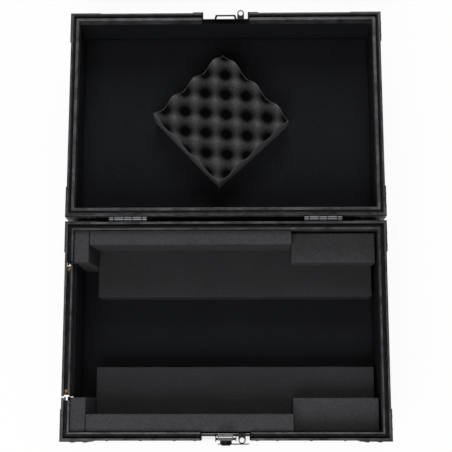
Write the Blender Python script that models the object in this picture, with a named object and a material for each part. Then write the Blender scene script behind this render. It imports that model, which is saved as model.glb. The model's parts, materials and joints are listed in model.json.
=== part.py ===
"""Foam-fitted flight case, open on its hinges, with a butterfly latch and a drop-down cable flap.

The case is drawn closed in its own frame: X runs along the front, Y runs from the front to the
hinges, Z is up, and the rear outer edge of the base's rim lies at Y = 0 and Z = 0. The lid hangs
from an empty on the hinge axis and is turned open, and the open case stands centred on the origin.
"""

import math

import bmesh
import bpy
from mathutils import Matrix, Vector

# Driving sizes of the case, in metres
CASE_WIDTH = 0.530
CASE_DEPTH = 0.3554
WELL_DEPTH = 0.1255
LID_DEPTH = 0.0856
OPEN_ANGLE = math.radians(181.02)

# Clearances and the overrun that every cut shares
SEAT_GAP = 0.0003
RIM_GAP = 0.0003
CUT_OVERRUN = 0.002

# Panels and linings
PLY = 0.007
PLY_SETBACK = 0.0023
BASE_LINING = 0.002
LID_LINING = 0.0036
FLOOR_LINING = 0.003

# Tongue and groove rims
RIM_WIDTH = 0.0132
RIM_LIP = 0.0036
RIM_GROOVE = 0.0033
RIM_GROOVE_DEPTH = 0.005
RIM_LAND = 0.0034
RIM_LAND_DROP = 0.002
RIM_WEB = 0.008
RIM_SKIRT = 0.018
OUTER_SKIRT = 0.002
INNER_SKIRT = 0.0036
TONGUE = 0.0026
TONGUE_HEIGHT = 0.003
LID_GROOVE = 0.0018
LID_GROOVE_DEPTH = 0.0025

# Edge angles with the corner braces, and the ball corners
EDGE_SETBACK = 0.0005
EDGE_PLATE = 0.0015
EDGE_LEG = 0.020
FLOOR_LEG = 0.032
BRACE_PLATE = 0.0015
BRACE_LEG = 0.050
BRACE_TOP = 0.0025
BRACE_HEIGHT = 0.0395
BALL_LEG = 0.038
BALL_PLATE = 0.0015
BALL_RADIUS = 0.012
BALL_INSET = 0.0063
BALL_TRIM_SHARE = 1.42

# Back hinges
HINGE_OUT = 0.00512
HINGE_UP = 0.00117
HINGE_FROM_SIDE = 0.1035
KNUCKLE_RADIUS = 0.0039
KNUCKLE_END = 0.0076
KNUCKLE_SIDE = 0.0166
KNUCKLE_MIDDLE = 0.0136
HINGE_PIN_RADIUS = 0.0015
LEAF_PLATE = 0.0015
LEAF_HEIGHT = 0.0165
HINGE_SLOT_INSET = 0.0022
HINGE_SLOT = 0.0013
HINGE_SLOT_TRIM = 0.0003
HINGE_SLOT_DEPTH = 0.003

# Drop-down flap in the left wall
FLAP_REAR = 0.0735
FLAP_FROM_FRONT = 0.0726
FLAP_SLOT = 0.0087
FLAP_LINING = 0.0081
FLAP_NOTCH = 0.0066
FLAP_FRONT_SEAM = 0.0023
POST_LIP = 0.004
END_PLATE = 0.001
END_PLATE_INSET = 0.0002
END_PLATE_TOP = 0.0055
POST_FLANGE = 0.012
FLAP_KNUCKLE_RADIUS = 0.0023
FLAP_PIN_RADIUS = 0.0008
FLAP_LEAF_PLATE = 0.001
FLAP_LEAF_HEIGHT = 0.016
SILL_LEAF_HEIGHT = 0.0065
SILL_GAP = 0.0005
FLAP_KNUCKLES = 7

# Recessed latch dishes
DISH_WIDTH = 0.0765
DISH_DEPTH = 0.011
DISH_SHEET = 0.001
DISH_FLANGE_WIDTH = 0.112
DISH_FLANGE = 0.0012
RAMP_START = 0.039
RAMP_END = 0.051
BASE_FLANGE_END = 0.060
LID_FLANGE_END = 0.056
LID_FLANGE_START = 0.0006
EYE_OFFSET = 0.02605
EYE_WIDTH = 0.0117
EYE_HOLE = 0.008
EYE_SHEET = 0.0015
EYE_INSET = 0.0008

# Latch keeper, hook, tilting frame and wing
KEEPER_HALF = 0.017
KEEPER_FOOT = 0.0195
KEEPER_LEG = 0.003
KEEPER_FACE = 0.0022
KEEPER_BAR = 0.0022
KEEPER_HEIGHT = 0.0033
KEEPER_SHEET = 0.0025
HOOK_PLATE = 0.0013
HOOK_FACE = 0.0006
HOOK_HALF = 0.0154
HOOK_NECK = 0.0123
HOOK_LIP = 0.0015
HOOK_REACH = 0.0106
HOOK_SLOT_START = 0.0047
HOOK_SLOT = 0.0016
HOOK_SLOT_HALF = 0.0108
HOOK_RISE = 0.004
HOOK_FOOT = 0.0095
WING_DROP = 0.021
ECCENTRIC_RADIUS = 0.0065
ECCENTRIC_SLACK = 0.0009
AXLE_RADIUS = 0.0025
HUB_RADIUS = 0.0095
WING_FACE = 0.0054
WING_SHEET = 0.0012
WING_LONG = 0.038
WING_SHORT = 0.0135
WING_LONG_RADIUS = 0.0105
WING_SHORT_RADIUS = 0.012
WING_BOSS = 0.0018
WING_BOSS_RADIUS = 0.0075
FRAME_CHEEK = 0.0012
FRAME_FRONT = 0.0019
FRAME_BACK = 0.0098
FRAME_TOP = 0.008
FRAME_BRIDGE = 0.0015
FRAME_BRIDGE_TOP = 0.0095
FRAME_BRIDGE_END = 0.033
TILT_DROP = 0.036
TILT_INSET = 0.008
TILT_PIN_RADIUS = 0.0015
TILT_FOOT = 0.0018
EAR_SHEET = 0.0014
EAR_TOP = 0.032
EAR_END = 0.0375
EAR_FRONT = 0.0055

# Foam blocks of the base and the egg-crate pad of the lid
STRIP_FROM_LEFT = 0.0455
STRIP_FROM_RIGHT = 0.0165
STRIP_TOP = 0.0771
WELL_REAR = 0.1177
WELL_FROM_FRONT = 0.1199
NARROW_FROM_RIGHT = 0.1556
NARROW_TOP = 0.0057
NARROW_REAR = 0.0382
NARROW_FROM_FRONT = 0.0421
RIGHT_BLOCK_TOP = 0.0385
RIGHT_BLOCK_FROM_RIGHT = 0.0145
RIGHT_BLOCK_REAR = 0.0644
RIGHT_BLOCK_FROM_FRONT = 0.0678
LEFT_BLOCK_FROM_LEFT = 0.0384
LEFT_BLOCK_REAR = 0.0670
LEFT_BLOCK_FROM_FRONT = 0.0689
FOAM_ROUND = 0.0012
PAD_SIDE = 0.1595
PAD_TURN = math.radians(46.9)
PAD_ACROSS = -0.0083
PAD_FORWARD = 0.0022
PAD_MEAN = 0.037
PAD_WAVE = 0.013
PAD_FIRST_PITCH = 0.0537
PAD_SECOND_PITCH = 0.0482
PAD_FIRST_SHIFT = 0.0018
PAD_SECOND_SHIFT = 0.0348
PAD_STEPS = 28

# Carrying handle on the right wall
HANDLE_DROP = 0.070
HANDLE_PLATE = 0.0015
HANDLE_PLATE_WIDTH = 0.118
HANDLE_PLATE_TOP = 0.014
HANDLE_PLATE_HEIGHT = 0.061
HANDLE_CORNER = 0.008
BAIL_RADIUS = 0.003
BAIL_HALF = 0.040
BAIL_LENGTH = 0.043
BAIL_BEND = 0.012
BAIL_STUB = 0.011
BAIL_STAND = 0.0045
BAIL_EAR = 0.007
BAIL_EAR_WALL = 0.002

# Rubber feet
FOOT_RADIUS = 0.014
FOOT_TIP_RADIUS = 0.012
FOOT_HEIGHT = 0.010
FOOT_ROUND = 0.0015
FOOT_SIDE = 0.070
FOOT_END = 0.017

# Fineness of the round pieces
ROUND_SEGMENTS = 24
PIN_SEGMENTS = 16
BALL_SEGMENTS = 20
BEND_STEPS = 6
SMOOTH_ANGLE = math.radians(35.0)

# Sizes that follow from those above
HALF_WIDTH = CASE_WIDTH / 2
PLY_INSIDE = PLY_SETBACK + PLY
LINING_OUTSIDE = PLY_INSIDE + SEAT_GAP
PLY_TOP = RIM_WEB + SEAT_GAP
SKIRT_END = RIM_SKIRT + SEAT_GAP
FOAM_EDGE = RIM_WIDTH + SEAT_GAP
DISH_HALF = DISH_WIDTH / 2 + DISH_SHEET
DISH_NOTCH = DISH_HALF + SEAT_GAP
DISH_BACK = DISH_DEPTH + DISH_SHEET
HINGE_LENGTH = 2 * KNUCKLE_END + 2 * KNUCKLE_SIDE + KNUCKLE_MIDDLE
HINGE_SPREAD = HALF_WIDTH - HINGE_FROM_SIDE
FLAP_FRONT = CASE_DEPTH - FLAP_FROM_FRONT
FLAP_POST_REAR = FLAP_REAR - FLAP_SLOT
FLAP_POST_FRONT = FLAP_FRONT + FLAP_SLOT
BASE_LEG_TOP = WELL_DEPTH + FLOOR_LINING + PLY + 2 * SEAT_GAP + EDGE_PLATE - EDGE_LEG
FLAP_DEPTH = BASE_LEG_TOP - SILL_GAP - SILL_LEAF_HEIGHT - SEAT_GAP - FLAP_KNUCKLE_RADIUS
FLAP_AXIS_INSET = PLY_SETBACK - SEAT_GAP - FLAP_KNUCKLE_RADIUS
HOOK_UNDER = RIM_GAP + KEEPER_HEIGHT + KEEPER_SHEET + SEAT_GAP + HOOK_RISE


def material(name, colour, roughness, metallic):
    """Make a plain surface with one colour."""
    result = bpy.data.materials.new(name)
    result.use_nodes = True
    surface = result.node_tree.nodes["Principled BSDF"]
    surface.inputs["Base Color"].default_value = (*colour, 1.0)
    surface.inputs["Roughness"].default_value = roughness
    surface.inputs["Metallic"].default_value = metallic
    result.diffuse_color = (*colour, 1.0)
    return result


def mesh_of(graph):
    """Turn an edited mesh into a mesh with its faces pointing out."""
    bmesh.ops.recalc_face_normals(graph, faces=graph.faces)
    if graph.calc_volume(signed=True) < 0.0:
        bmesh.ops.reverse_faces(graph, faces=graph.faces)
    mesh = bpy.data.meshes.new("solid")
    graph.to_mesh(mesh)
    graph.free()
    return mesh


def slab(across, along, height):
    """Box between two values on each axis."""
    graph = bmesh.new()
    size = [abs(end - start) for start, end in (across, along, height)]
    middle = [(start + end) / 2 for start, end in (across, along, height)]
    place = Matrix.Translation(middle) @ Matrix.Diagonal((*size, 1.0))
    bmesh.ops.create_cube(graph, size=1.0, matrix=place)
    return mesh_of(graph)


def skin(rings):
    """Closed solid through equal rings of points, with both ends filled."""
    graph = bmesh.new()
    loops = [[graph.verts.new(point) for point in ring] for ring in rings]
    count = len(rings[0])
    for first, second in zip(loops, loops[1:]):
        for index in range(count):
            after = (index + 1) % count
            graph.faces.new((first[index], first[after], second[after], second[index]))
    graph.faces.new(loops[0])
    graph.faces.new(loops[-1])
    return mesh_of(graph)


def prism(outline, axis, start, end):
    """Extrude a flat outline along one axis; its points hold the two other axes in order."""
    rings = []
    for value in (start, end):
        ring = []
        for first, second in outline:
            if axis == "X":
                ring.append((value, first, second))
            elif axis == "Y":
                ring.append((first, value, second))
            else:
                ring.append((first, second, value))
        rings.append(ring)
    return skin(rings)


def circle(centre, radius, segments=ROUND_SEGMENTS, start=0.0):
    """Points of a full circle, the first one at a start angle."""
    return arc(centre, radius, start, start + math.tau * (segments - 1) / segments, segments)


def arc(centre, radius, start, end, count):
    """Points of an arc, both ends counted."""
    points = []
    for step in range(count):
        angle = start + (end - start) * step / (count - 1)
        points.append((centre[0] + radius * math.cos(angle), centre[1] + radius * math.sin(angle)))
    return points


def rounded_rectangle(low, high, radius):
    """Points of a rectangle with round corners."""
    quarter = math.pi / 2
    corners = (
        ((high[0] - radius, high[1] - radius), 0),
        ((low[0] + radius, high[1] - radius), 1),
        ((low[0] + radius, low[1] + radius), 2),
        ((high[0] - radius, low[1] + radius), 3),
    )
    points = []
    for centre, turn in corners:
        points.extend(arc(centre, radius, turn * quarter, (turn + 1) * quarter, BEND_STEPS))
    return points


def capsule(first, first_radius, second, second_radius):
    """Outline around two circles on one level line, the second to the right of the first."""
    distance = second[0] - first[0]
    lean = math.acos((first_radius - second_radius) / distance)
    points = arc(second, second_radius, -lean, lean, ROUND_SEGMENTS // 2)
    points.extend(arc(first, first_radius, lean, math.tau - lean, ROUND_SEGMENTS // 2))
    return points


def combine(body, others, operation):
    """Cut other solids out of a body, or join them to it, one after another."""
    holder = bpy.data.objects.new("holder", body)
    bpy.context.scene.collection.objects.link(holder)
    helpers = []
    for other in others:
        helper = bpy.data.objects.new("helper", other)
        helper.hide_render = True
        helper.display_type = "WIRE"
        bpy.context.scene.collection.objects.link(helper)
        step = holder.modifiers.new("combine", "BOOLEAN")
        step.operation = operation
        step.object = helper
        helpers.append(helper)
    graph = bpy.context.evaluated_depsgraph_get()
    result = bpy.data.meshes.new_from_object(holder.evaluated_get(graph))
    for used in [holder, *helpers]:
        bpy.data.objects.remove(used)
    return result


def cut(body, *others):
    """Cut solids out of a body."""
    return combine(body, others, "DIFFERENCE")


def join(body, *others):
    """Join solids that overlap into one body."""
    return combine(body, others, "UNION")


def add(name, mesh, surface, parent, origin=(0.0, 0.0, 0.0), smooth=False):
    """Add a sub-part whose mesh is in the case's frame, under a parent whose own place is given."""
    if smooth:
        mesh.shade_smooth()
        mesh.set_sharp_from_angle(angle=SMOOTH_ANGLE)
    mesh.name = name
    piece = bpy.data.objects.new(name, mesh)
    bpy.context.scene.collection.objects.link(piece)
    mesh.materials.clear()
    mesh.materials.append(surface)
    piece.parent = parent
    piece.location = -Vector(origin)
    return piece


def round_edges(piece, width, segments):
    """Round a sub-part's edges."""
    rounding = piece.modifiers.new("rounded edges", "BEVEL")
    rounding.width = width
    rounding.segments = segments
    rounding.limit_method = "ANGLE"


def empty(name, place, parent):
    """Add an empty, such as one on a joint's axis."""
    result = bpy.data.objects.new(name, None)
    bpy.context.scene.collection.objects.link(result)
    result.parent = parent
    result.location = place
    return result


class Half:
    """One half of the case: its depths run from its rim's plane into the half."""

    def __init__(self, name, plane, sign, parent, origin, lining, cavity):
        self.name = name
        self.plane = plane
        self.sign = sign
        self.parent = parent
        self.origin = origin
        self.lining = lining
        self.cavity = cavity
        self.panel_start = cavity + FLOOR_LINING + SEAT_GAP
        self.panel_end = self.panel_start + PLY
        self.frame_start = self.panel_end + SEAT_GAP
        self.frame_end = self.frame_start + EDGE_PLATE

    def level(self, depth):
        """Height of a depth below this half's rim."""
        return self.plane + self.sign * depth

    def levels(self, start, end):
        """Heights of two depths."""
        return self.level(start), self.level(end)

    def add(self, name, mesh, surface, smooth=False):
        """Add a sub-part that is fixed to this half."""
        return add(name, mesh, surface, self.parent, self.origin, smooth)


def across(inset):
    """Both ends along X of a box that lies this far inside the side faces."""
    return inset - HALF_WIDTH, HALF_WIDTH - inset


def along(inset):
    """Both ends along Y of a box that lies this far inside the front and rear faces."""
    return inset - CASE_DEPTH, -inset


def corner(side, end):
    """Stop of a rim's run at a corner; side and end are 1 for the right and the rear, else -1."""
    def place(inset):
        rear = -inset if end > 0 else inset - CASE_DEPTH
        return side * (HALF_WIDTH - inset), rear
    return place


def on_front(value):
    """Stop of a rim's run on the front wall."""
    return lambda inset: (value, inset - CASE_DEPTH)


def on_left(value):
    """Stop of a rim's run on the left wall."""
    return lambda inset: (inset - HALF_WIDTH, value)


def rim_run(profile, stops, half):
    """Run a rim's profile through its stops, with mitred corners."""
    rings = []
    for stop in stops:
        rings.append([(*stop(inset), half.level(depth)) for inset, depth in profile])
    return skin(rings)


def groove_profile():
    """Profile of the base's rim: how far in from the outer face, and how deep."""
    land_start = RIM_LIP + RIM_GROOVE
    land_end = land_start + RIM_LAND
    return [
        (0.0, 0.0), (RIM_LIP, 0.0), (RIM_LIP, RIM_GROOVE_DEPTH), (land_start, RIM_GROOVE_DEPTH),
        (land_start, RIM_LAND_DROP), (land_end, RIM_LAND_DROP), (land_end, 0.0), (RIM_WIDTH, 0.0),
        *skirt_profile(),
    ]


def tongue_profile():
    """Profile of the lid's rim: its tongue fits the groove of the base's rim."""
    start = RIM_LIP + RIM_GAP
    end = start + TONGUE
    return [
        (0.0, 0.0), (start, 0.0), (start, -TONGUE_HEIGHT), (end, -TONGUE_HEIGHT),
        (end, LID_GROOVE_DEPTH), (end + LID_GROOVE, LID_GROOVE_DEPTH), (end + LID_GROOVE, 0.0),
        (RIM_WIDTH, 0.0), *skirt_profile(),
    ]


def skirt_profile():
    """Lower half of both rim profiles: the two skirts that hold the panel's edge."""
    inner = RIM_WIDTH - INNER_SKIRT
    return [
        (RIM_WIDTH, RIM_SKIRT), (inner, RIM_SKIRT), (inner, RIM_WEB),
        (OUTER_SKIRT, RIM_WEB), (OUTER_SKIRT, RIM_SKIRT), (0.0, RIM_SKIRT),
    ]


def build_panels(half, surface):
    """Add the broad panel and the four walls of a half."""
    side = along(LINING_OUTSIDE)
    deep = half.levels(half.panel_start, half.panel_end)
    tall = half.levels(PLY_TOP, half.panel_end)
    half.add(half.name + "_panel", slab(across(LINING_OUTSIDE), side, deep), surface)
    notch = slab((-DISH_NOTCH, DISH_NOTCH), (-CASE_DEPTH, LINING_OUTSIDE - CASE_DEPTH),
                 half.levels(0.0, RAMP_END + SEAT_GAP))
    front = slab(across(PLY_SETBACK), (PLY_SETBACK - CASE_DEPTH, PLY_INSIDE - CASE_DEPTH), tall)
    half.add(half.name + "_front_wall", cut(front, notch), surface)
    rear = slab(across(PLY_SETBACK), (-PLY_INSIDE, -PLY_SETBACK), tall)
    half.add(half.name + "_rear_wall", rear, surface)
    right = slab((HALF_WIDTH - PLY_INSIDE, HALF_WIDTH - PLY_SETBACK), side, tall)
    half.add(half.name + "_right_wall", right, surface)
    left = slab((PLY_SETBACK - HALF_WIDTH, PLY_INSIDE - HALF_WIDTH), side, tall)
    if half.name == "base":
        left = cut(left, flap_opening())
    half.add(half.name + "_left_wall", left, surface)


def flap_opening():
    """Solid that opens the left wall for the flap and for the end plates beside it."""
    margin = END_PLATE_INSET + END_PLATE + SEAT_GAP
    return slab((-CUT_OVERRUN - HALF_WIDTH, RIM_WIDTH + CUT_OVERRUN - HALF_WIDTH),
                (-FLAP_POST_FRONT - margin, margin - FLAP_POST_REAR),
                (-FLAP_DEPTH - SEAT_GAP, CUT_OVERRUN))


def build_linings(half, surface):
    """Add the lining of a half's walls and of its broad panel."""
    inside = LINING_OUTSIDE + half.lining
    over = half.levels(SKIRT_END - CUT_OVERRUN, half.panel_start)
    ring = slab(across(LINING_OUTSIDE), along(LINING_OUTSIDE),
                half.levels(SKIRT_END, half.panel_start - SEAT_GAP))
    space = slab(across(inside), along(inside), over)
    notch = slab((-DISH_NOTCH, DISH_NOTCH), (-CASE_DEPTH, DISH_BACK + SEAT_GAP - CASE_DEPTH),
                 half.levels(0.0, RAMP_END))
    tools = [space, notch]
    if half.name == "base":
        tools.append(flap_opening())
    half.add(half.name + "_wall_lining", cut(ring, *tools), surface)
    broad = slab(across(inside + SEAT_GAP), along(inside + SEAT_GAP),
                 half.levels(half.cavity, half.panel_start - SEAT_GAP))
    half.add(half.name + "_panel_lining", broad, surface)


def build_edge_frame(half, surface):
    """Add the edge angles of a half with the braces that carry the rim's corners."""
    outer = EDGE_SETBACK
    inner = EDGE_SETBACK + EDGE_PLATE
    leg = outer + EDGE_LEG
    floor_leg = outer + FLOOR_LEG
    shell = slab(across(outer), along(outer), half.levels(SKIRT_END, half.frame_end))
    room = slab(across(inner), along(inner), half.levels(0.0, half.frame_start))
    window_end = half.levels(0.0, half.frame_end - EDGE_LEG)
    front_window = slab(across(leg), along(-CUT_OVERRUN), window_end)
    side_window = slab(across(-CUT_OVERRUN), along(leg), window_end)
    floor_window = slab(across(floor_leg), along(floor_leg),
                        half.levels(half.frame_start - CUT_OVERRUN, half.frame_end + CUT_OVERRUN))
    frame = cut(shell, room, front_window, side_window, floor_window)
    braces = []
    for side in (-1, 1):
        for end in (-1, 1):
            braces.extend(corner_brace(half, side, end))
    half.add(half.name + "_edge_frame", join(frame, *braces), surface)


def corner_brace(half, side, end):
    """L-shaped plate over the rim's corner, and the pad that carries it on the edge angle."""
    face = -SEAT_GAP
    outside = face - BRACE_PLATE
    pad = EDGE_SETBACK + EDGE_PLATE * 2 / 3
    low = SKIRT_END + SEAT_GAP
    solids = []
    for inside, start, finish in ((face, BRACE_TOP, BRACE_TOP + BRACE_HEIGHT),
                                  (pad, low, BRACE_TOP + BRACE_HEIGHT - SEAT_GAP)):
        reach = BRACE_LEG if inside == face else BRACE_LEG - SEAT_GAP
        outline = [(outside, outside), (reach, outside), (reach, inside), (inside, inside),
                   (inside, reach), (outside, reach)]
        points = []
        for first, second in outline:
            rear = -second if end > 0 else second - CASE_DEPTH
            points.append((side * (HALF_WIDTH - first), rear))
        solids.append(prism(points, "Z", *half.levels(start, finish)))
    return solids


def ball_corner_shape():
    """Ball corner around the point of a box that fills the positive octant."""
    graph = bmesh.new()
    size = BALL_LEG + BALL_PLATE
    middle = (BALL_LEG - BALL_PLATE) / 2
    place = Matrix.Translation((middle, middle, middle)) @ Matrix.Diagonal((size, size, size, 1.0))
    bmesh.ops.create_cube(graph, size=1.0, matrix=place)
    trim = BALL_LEG * BALL_TRIM_SHARE / 3
    geometry = [*graph.verts, *graph.edges, *graph.faces]
    bmesh.ops.bisect_plane(graph, geom=geometry, plane_co=(trim, trim, trim),
                           plane_no=(1.0, 1.0, 1.0), clear_outer=True)
    bmesh.ops.holes_fill(graph, edges=graph.edges)
    plates = mesh_of(graph)
    graph = bmesh.new()
    bmesh.ops.create_uvsphere(graph, u_segments=BALL_SEGMENTS, v_segments=BALL_SEGMENTS // 2,
                              radius=BALL_RADIUS,
                              matrix=Matrix.Translation((BALL_INSET, BALL_INSET, BALL_INSET)))
    room = slab((0.0, CASE_DEPTH), (0.0, CASE_DEPTH), (0.0, CASE_DEPTH))
    return cut(join(plates, mesh_of(graph)), room)


def build_ball_corners(half, surface):
    """Add the four ball corners around the broad panel of a half."""
    seat = EDGE_SETBACK - SEAT_GAP
    for side, side_name in ((-1, "left"), (1, "right")):
        for end, end_name in ((-1, "front"), (1, "rear")):
            graph = bmesh.new()
            graph.from_mesh(BALL_SHAPE)
            for point in graph.verts:
                first, second, third = point.co
                rear = -seat - second if end > 0 else seat + second - CASE_DEPTH
                depth = half.frame_end + SEAT_GAP - third
                point.co = (side * (HALF_WIDTH - seat - first), rear, half.level(depth))
            name = "_".join((half.name, "ball_corner", end_name, side_name))
            half.add(name, mesh_of(graph), surface, smooth=True)


def build_rims(base, lid, surface):
    """Add the rims: two runs on the base, parted by the latch and the flap, and one on the lid."""
    rear_run = rim_run(groove_profile(), [on_front(DISH_NOTCH), corner(1, -1), corner(1, 1),
                                          corner(-1, 1), on_left(-FLAP_POST_REAR)], base)
    front_run = rim_run(groove_profile(), [on_front(-DISH_NOTCH), corner(-1, -1),
                                           on_left(-FLAP_POST_FRONT)], base)
    rear_run = join(rear_run, *post_end(-FLAP_POST_REAR, 1))
    front_run = join(front_run, *post_end(-FLAP_POST_FRONT, -1))
    base.add("base_rim_rear_run", rear_run, surface)
    base.add("base_rim_front_run", front_run, surface)
    lid_run = rim_run(tongue_profile(), [on_front(DISH_NOTCH), corner(1, -1), corner(1, 1),
                                         corner(-1, 1), corner(-1, -1), on_front(-DISH_NOTCH)], lid)
    lid.add("lid_rim", cut(lid_run, *hinge_slots(lid)), surface)


def hinge_slots(lid):
    """Solids that open a slot in the lid's rim in front of each knuckle of the lid's leaves."""
    slots = []
    for side in (-1, 1):
        for start, end in knuckle_spans("lid"):
            middle = side * HINGE_SPREAD
            slots.append(slab((middle + start + HINGE_SLOT_TRIM, middle + end - HINGE_SLOT_TRIM),
                              (-HINGE_SLOT_INSET - HINGE_SLOT, -HINGE_SLOT_INSET),
                              lid.levels(-CUT_OVERRUN, HINGE_SLOT_DEPTH)))
    return slots


def post_end(end, direction):
    """Channel on the end of the left wall beside the flap: an end plate, its outer flange and a lip."""
    start = end + direction * END_PLATE_INSET
    plate = slab((EDGE_SETBACK - HALF_WIDTH, RIM_WIDTH - END_PLATE_INSET - HALF_WIDTH),
                 (start, start + direction * END_PLATE), (-FLAP_DEPTH, -END_PLATE_TOP))
    flange = slab((EDGE_SETBACK - HALF_WIDTH, PLY_SETBACK - SEAT_GAP - HALF_WIDTH),
                  (start + direction * END_PLATE / 2, start + direction * POST_FLANGE),
                  (-FLAP_DEPTH, -SKIRT_END))
    return [plate, flange, rim_lip(end + direction * END_PLATE, end - direction * POST_LIP)]


def rim_lip(start, end):
    """Length of the rim's outer lip on the left wall."""
    return slab((-HALF_WIDTH, RIM_LIP - HALF_WIDTH), (start, end), (-RIM_GROOVE_DEPTH, 0.0))


def build_foam(base, surface):
    """Add the loose-cut foam blocks of the base; the narrow strips lean on the left blocks."""
    floor = -WELL_DEPTH + SEAT_GAP
    shelf = -STRIP_TOP + SEAT_GAP
    rear = -FOAM_EDGE
    front = FOAM_EDGE - CASE_DEPTH
    left = STRIP_FROM_LEFT - HALF_WIDTH
    narrow_end = HALF_WIDTH - NARROW_FROM_RIGHT
    strip = (left, HALF_WIDTH - STRIP_FROM_RIGHT)
    block = (narrow_end + SEAT_GAP, HALF_WIDTH - RIGHT_BLOCK_FROM_RIGHT)
    blocks = (
        ("foam_wide_rear", strip, (-WELL_REAR, rear), (floor, -STRIP_TOP)),
        ("foam_wide_front", strip, (front, WELL_FROM_FRONT - CASE_DEPTH), (floor, -STRIP_TOP)),
        ("foam_right_rear", block, (-RIGHT_BLOCK_REAR, rear), (shelf, -RIGHT_BLOCK_TOP)),
        ("foam_right_front", block, (front, RIGHT_BLOCK_FROM_FRONT - CASE_DEPTH), (shelf, -RIGHT_BLOCK_TOP)),
    )
    for name, width, depth, height in blocks:
        piece = base.add(name, slab(width, depth, height), surface)
        round_edges(piece, FOAM_ROUND, 2)
    outside = FOAM_EDGE - HALF_WIDTH
    foot = left - SEAT_GAP
    shoulder = LEFT_BLOCK_FROM_LEFT - HALF_WIDTH
    block_outline = [(outside, floor), (foot, floor), (foot, -STRIP_TOP),
                     (shoulder, -NARROW_TOP), (outside, -NARROW_TOP)]
    narrow_outline = [(left, shelf), (narrow_end, shelf), (narrow_end, -NARROW_TOP),
                      (shoulder + SEAT_GAP, -NARROW_TOP)]
    leaning = (
        ("foam_narrow_rear", narrow_outline, -NARROW_REAR, rear),
        ("foam_narrow_front", narrow_outline, front, NARROW_FROM_FRONT - CASE_DEPTH),
        ("foam_left_rear", block_outline, -LEFT_BLOCK_REAR, rear),
        ("foam_left_front", block_outline, front, LEFT_BLOCK_FROM_FRONT - CASE_DEPTH),
    )
    for name, outline, start, end in leaning:
        piece = base.add(name, prism(outline, "Y", start, end), surface)
        round_edges(piece, FOAM_ROUND, 2)


def build_pad(lid, surface):
    """Add the egg-crate foam pad that lies turned in the lid."""
    first_way = Vector((math.cos(PAD_TURN), math.sin(PAD_TURN)))
    second_way = Vector((-math.sin(PAD_TURN), math.cos(PAD_TURN)))
    turn = Matrix((first_way, second_way))
    middle = Vector((PAD_ACROSS, -CASE_DEPTH / 2 - PAD_FORWARD))
    foot = lid.cavity - SEAT_GAP

    def place(column, row):
        first = PAD_SIDE * (column / PAD_STEPS - 1 / 2)
        second = PAD_SIDE * (row / PAD_STEPS - 1 / 2)
        first_wave = math.cos(math.tau * (first + PAD_FIRST_SHIFT) / PAD_FIRST_PITCH)
        second_wave = math.cos(math.tau * (second + PAD_SECOND_SHIFT) / PAD_SECOND_PITCH)
        spot = middle + Vector((first, -second)) @ turn
        return spot, PAD_MEAN - PAD_WAVE * first_wave * second_wave

    graph = bmesh.new()
    top = []
    for row in range(PAD_STEPS + 1):
        line = []
        for column in range(PAD_STEPS + 1):
            spot, height = place(column, row)
            line.append(graph.verts.new((spot.x, spot.y, lid.level(foot - height))))
        top.append(line)
    for row in range(PAD_STEPS):
        for column in range(PAD_STEPS):
            graph.faces.new((top[row][column], top[row][column + 1],
                             top[row + 1][column + 1], top[row + 1][column]))
    edge = [(column, 0) for column in range(PAD_STEPS)]
    edge += [(PAD_STEPS, row) for row in range(PAD_STEPS)]
    edge += [(PAD_STEPS - column, PAD_STEPS) for column in range(PAD_STEPS)]
    edge += [(0, PAD_STEPS - row) for row in range(PAD_STEPS)]
    border = [top[row][column] for column, row in edge]
    bottom = [graph.verts.new((point.co.x, point.co.y, lid.level(foot))) for point in border]
    for index in range(len(edge)):
        after = (index + 1) % len(edge)
        graph.faces.new((border[index], border[after], bottom[after], bottom[index]))
    graph.faces.new(bottom)
    lid.add("foam_egg_crate_pad", mesh_of(graph), surface, smooth=True)


def knuckle_spans(ours):
    """Spans along a back hinge of the base leaf's three knuckles, or of the lid leaf's two."""
    widths = (KNUCKLE_END, KNUCKLE_SIDE, KNUCKLE_MIDDLE, KNUCKLE_SIDE, KNUCKLE_END)
    spans = []
    start = -HINGE_LENGTH / 2
    for index, width in enumerate(widths):
        if index % 2 == (0 if ours == "base" else 1):
            trim_start = SEAT_GAP / 2 if index > 0 else 0.0
            trim_end = SEAT_GAP / 2 if index < len(widths) - 1 else 0.0
            spans.append((start + trim_start, start + width - trim_end))
        start += width
    return spans


def build_back_hinges(half, surface, pin_surface):
    """Add the leaves of a half at both back hinges, and on the base the pins."""
    axis = (HINGE_OUT, HINGE_UP)
    inside = SEAT_GAP
    outside = SEAT_GAP + LEAF_PLATE
    away = KNUCKLE_RADIUS + SEAT_GAP
    top = HINGE_UP + half.sign * away
    leaf = slab((-HINGE_LENGTH / 2, HINGE_LENGTH / 2), (inside, outside),
                (top, top + half.sign * LEAF_HEIGHT))
    solids = []
    for start, end in knuckle_spans(half.name):
        solids.append(slab((start, end), (inside, outside), (HINGE_UP, top + half.sign * away)))
        solids.append(prism(circle(axis, KNUCKLE_RADIUS), "X", start, end))
    bore = prism(circle(axis, HINGE_PIN_RADIUS + SEAT_GAP, PIN_SEGMENTS), "X",
                 -HINGE_LENGTH, HINGE_LENGTH)
    shape = cut(join(leaf, *solids), bore)
    pin = prism(circle(axis, HINGE_PIN_RADIUS, PIN_SEGMENTS), "X", -HINGE_LENGTH / 2, HINGE_LENGTH / 2)
    for side, side_name in ((-1, "left"), (1, "right")):
        piece = half.add(half.name + "_hinge_leaf_" + side_name, shape, surface, smooth=True)
        piece.location.x += side * HINGE_SPREAD
        if half.name == "base":
            piece = half.add("hinge_pin_" + side_name, pin, pin_surface, smooth=True)
            piece.location.x += side * HINGE_SPREAD


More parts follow.
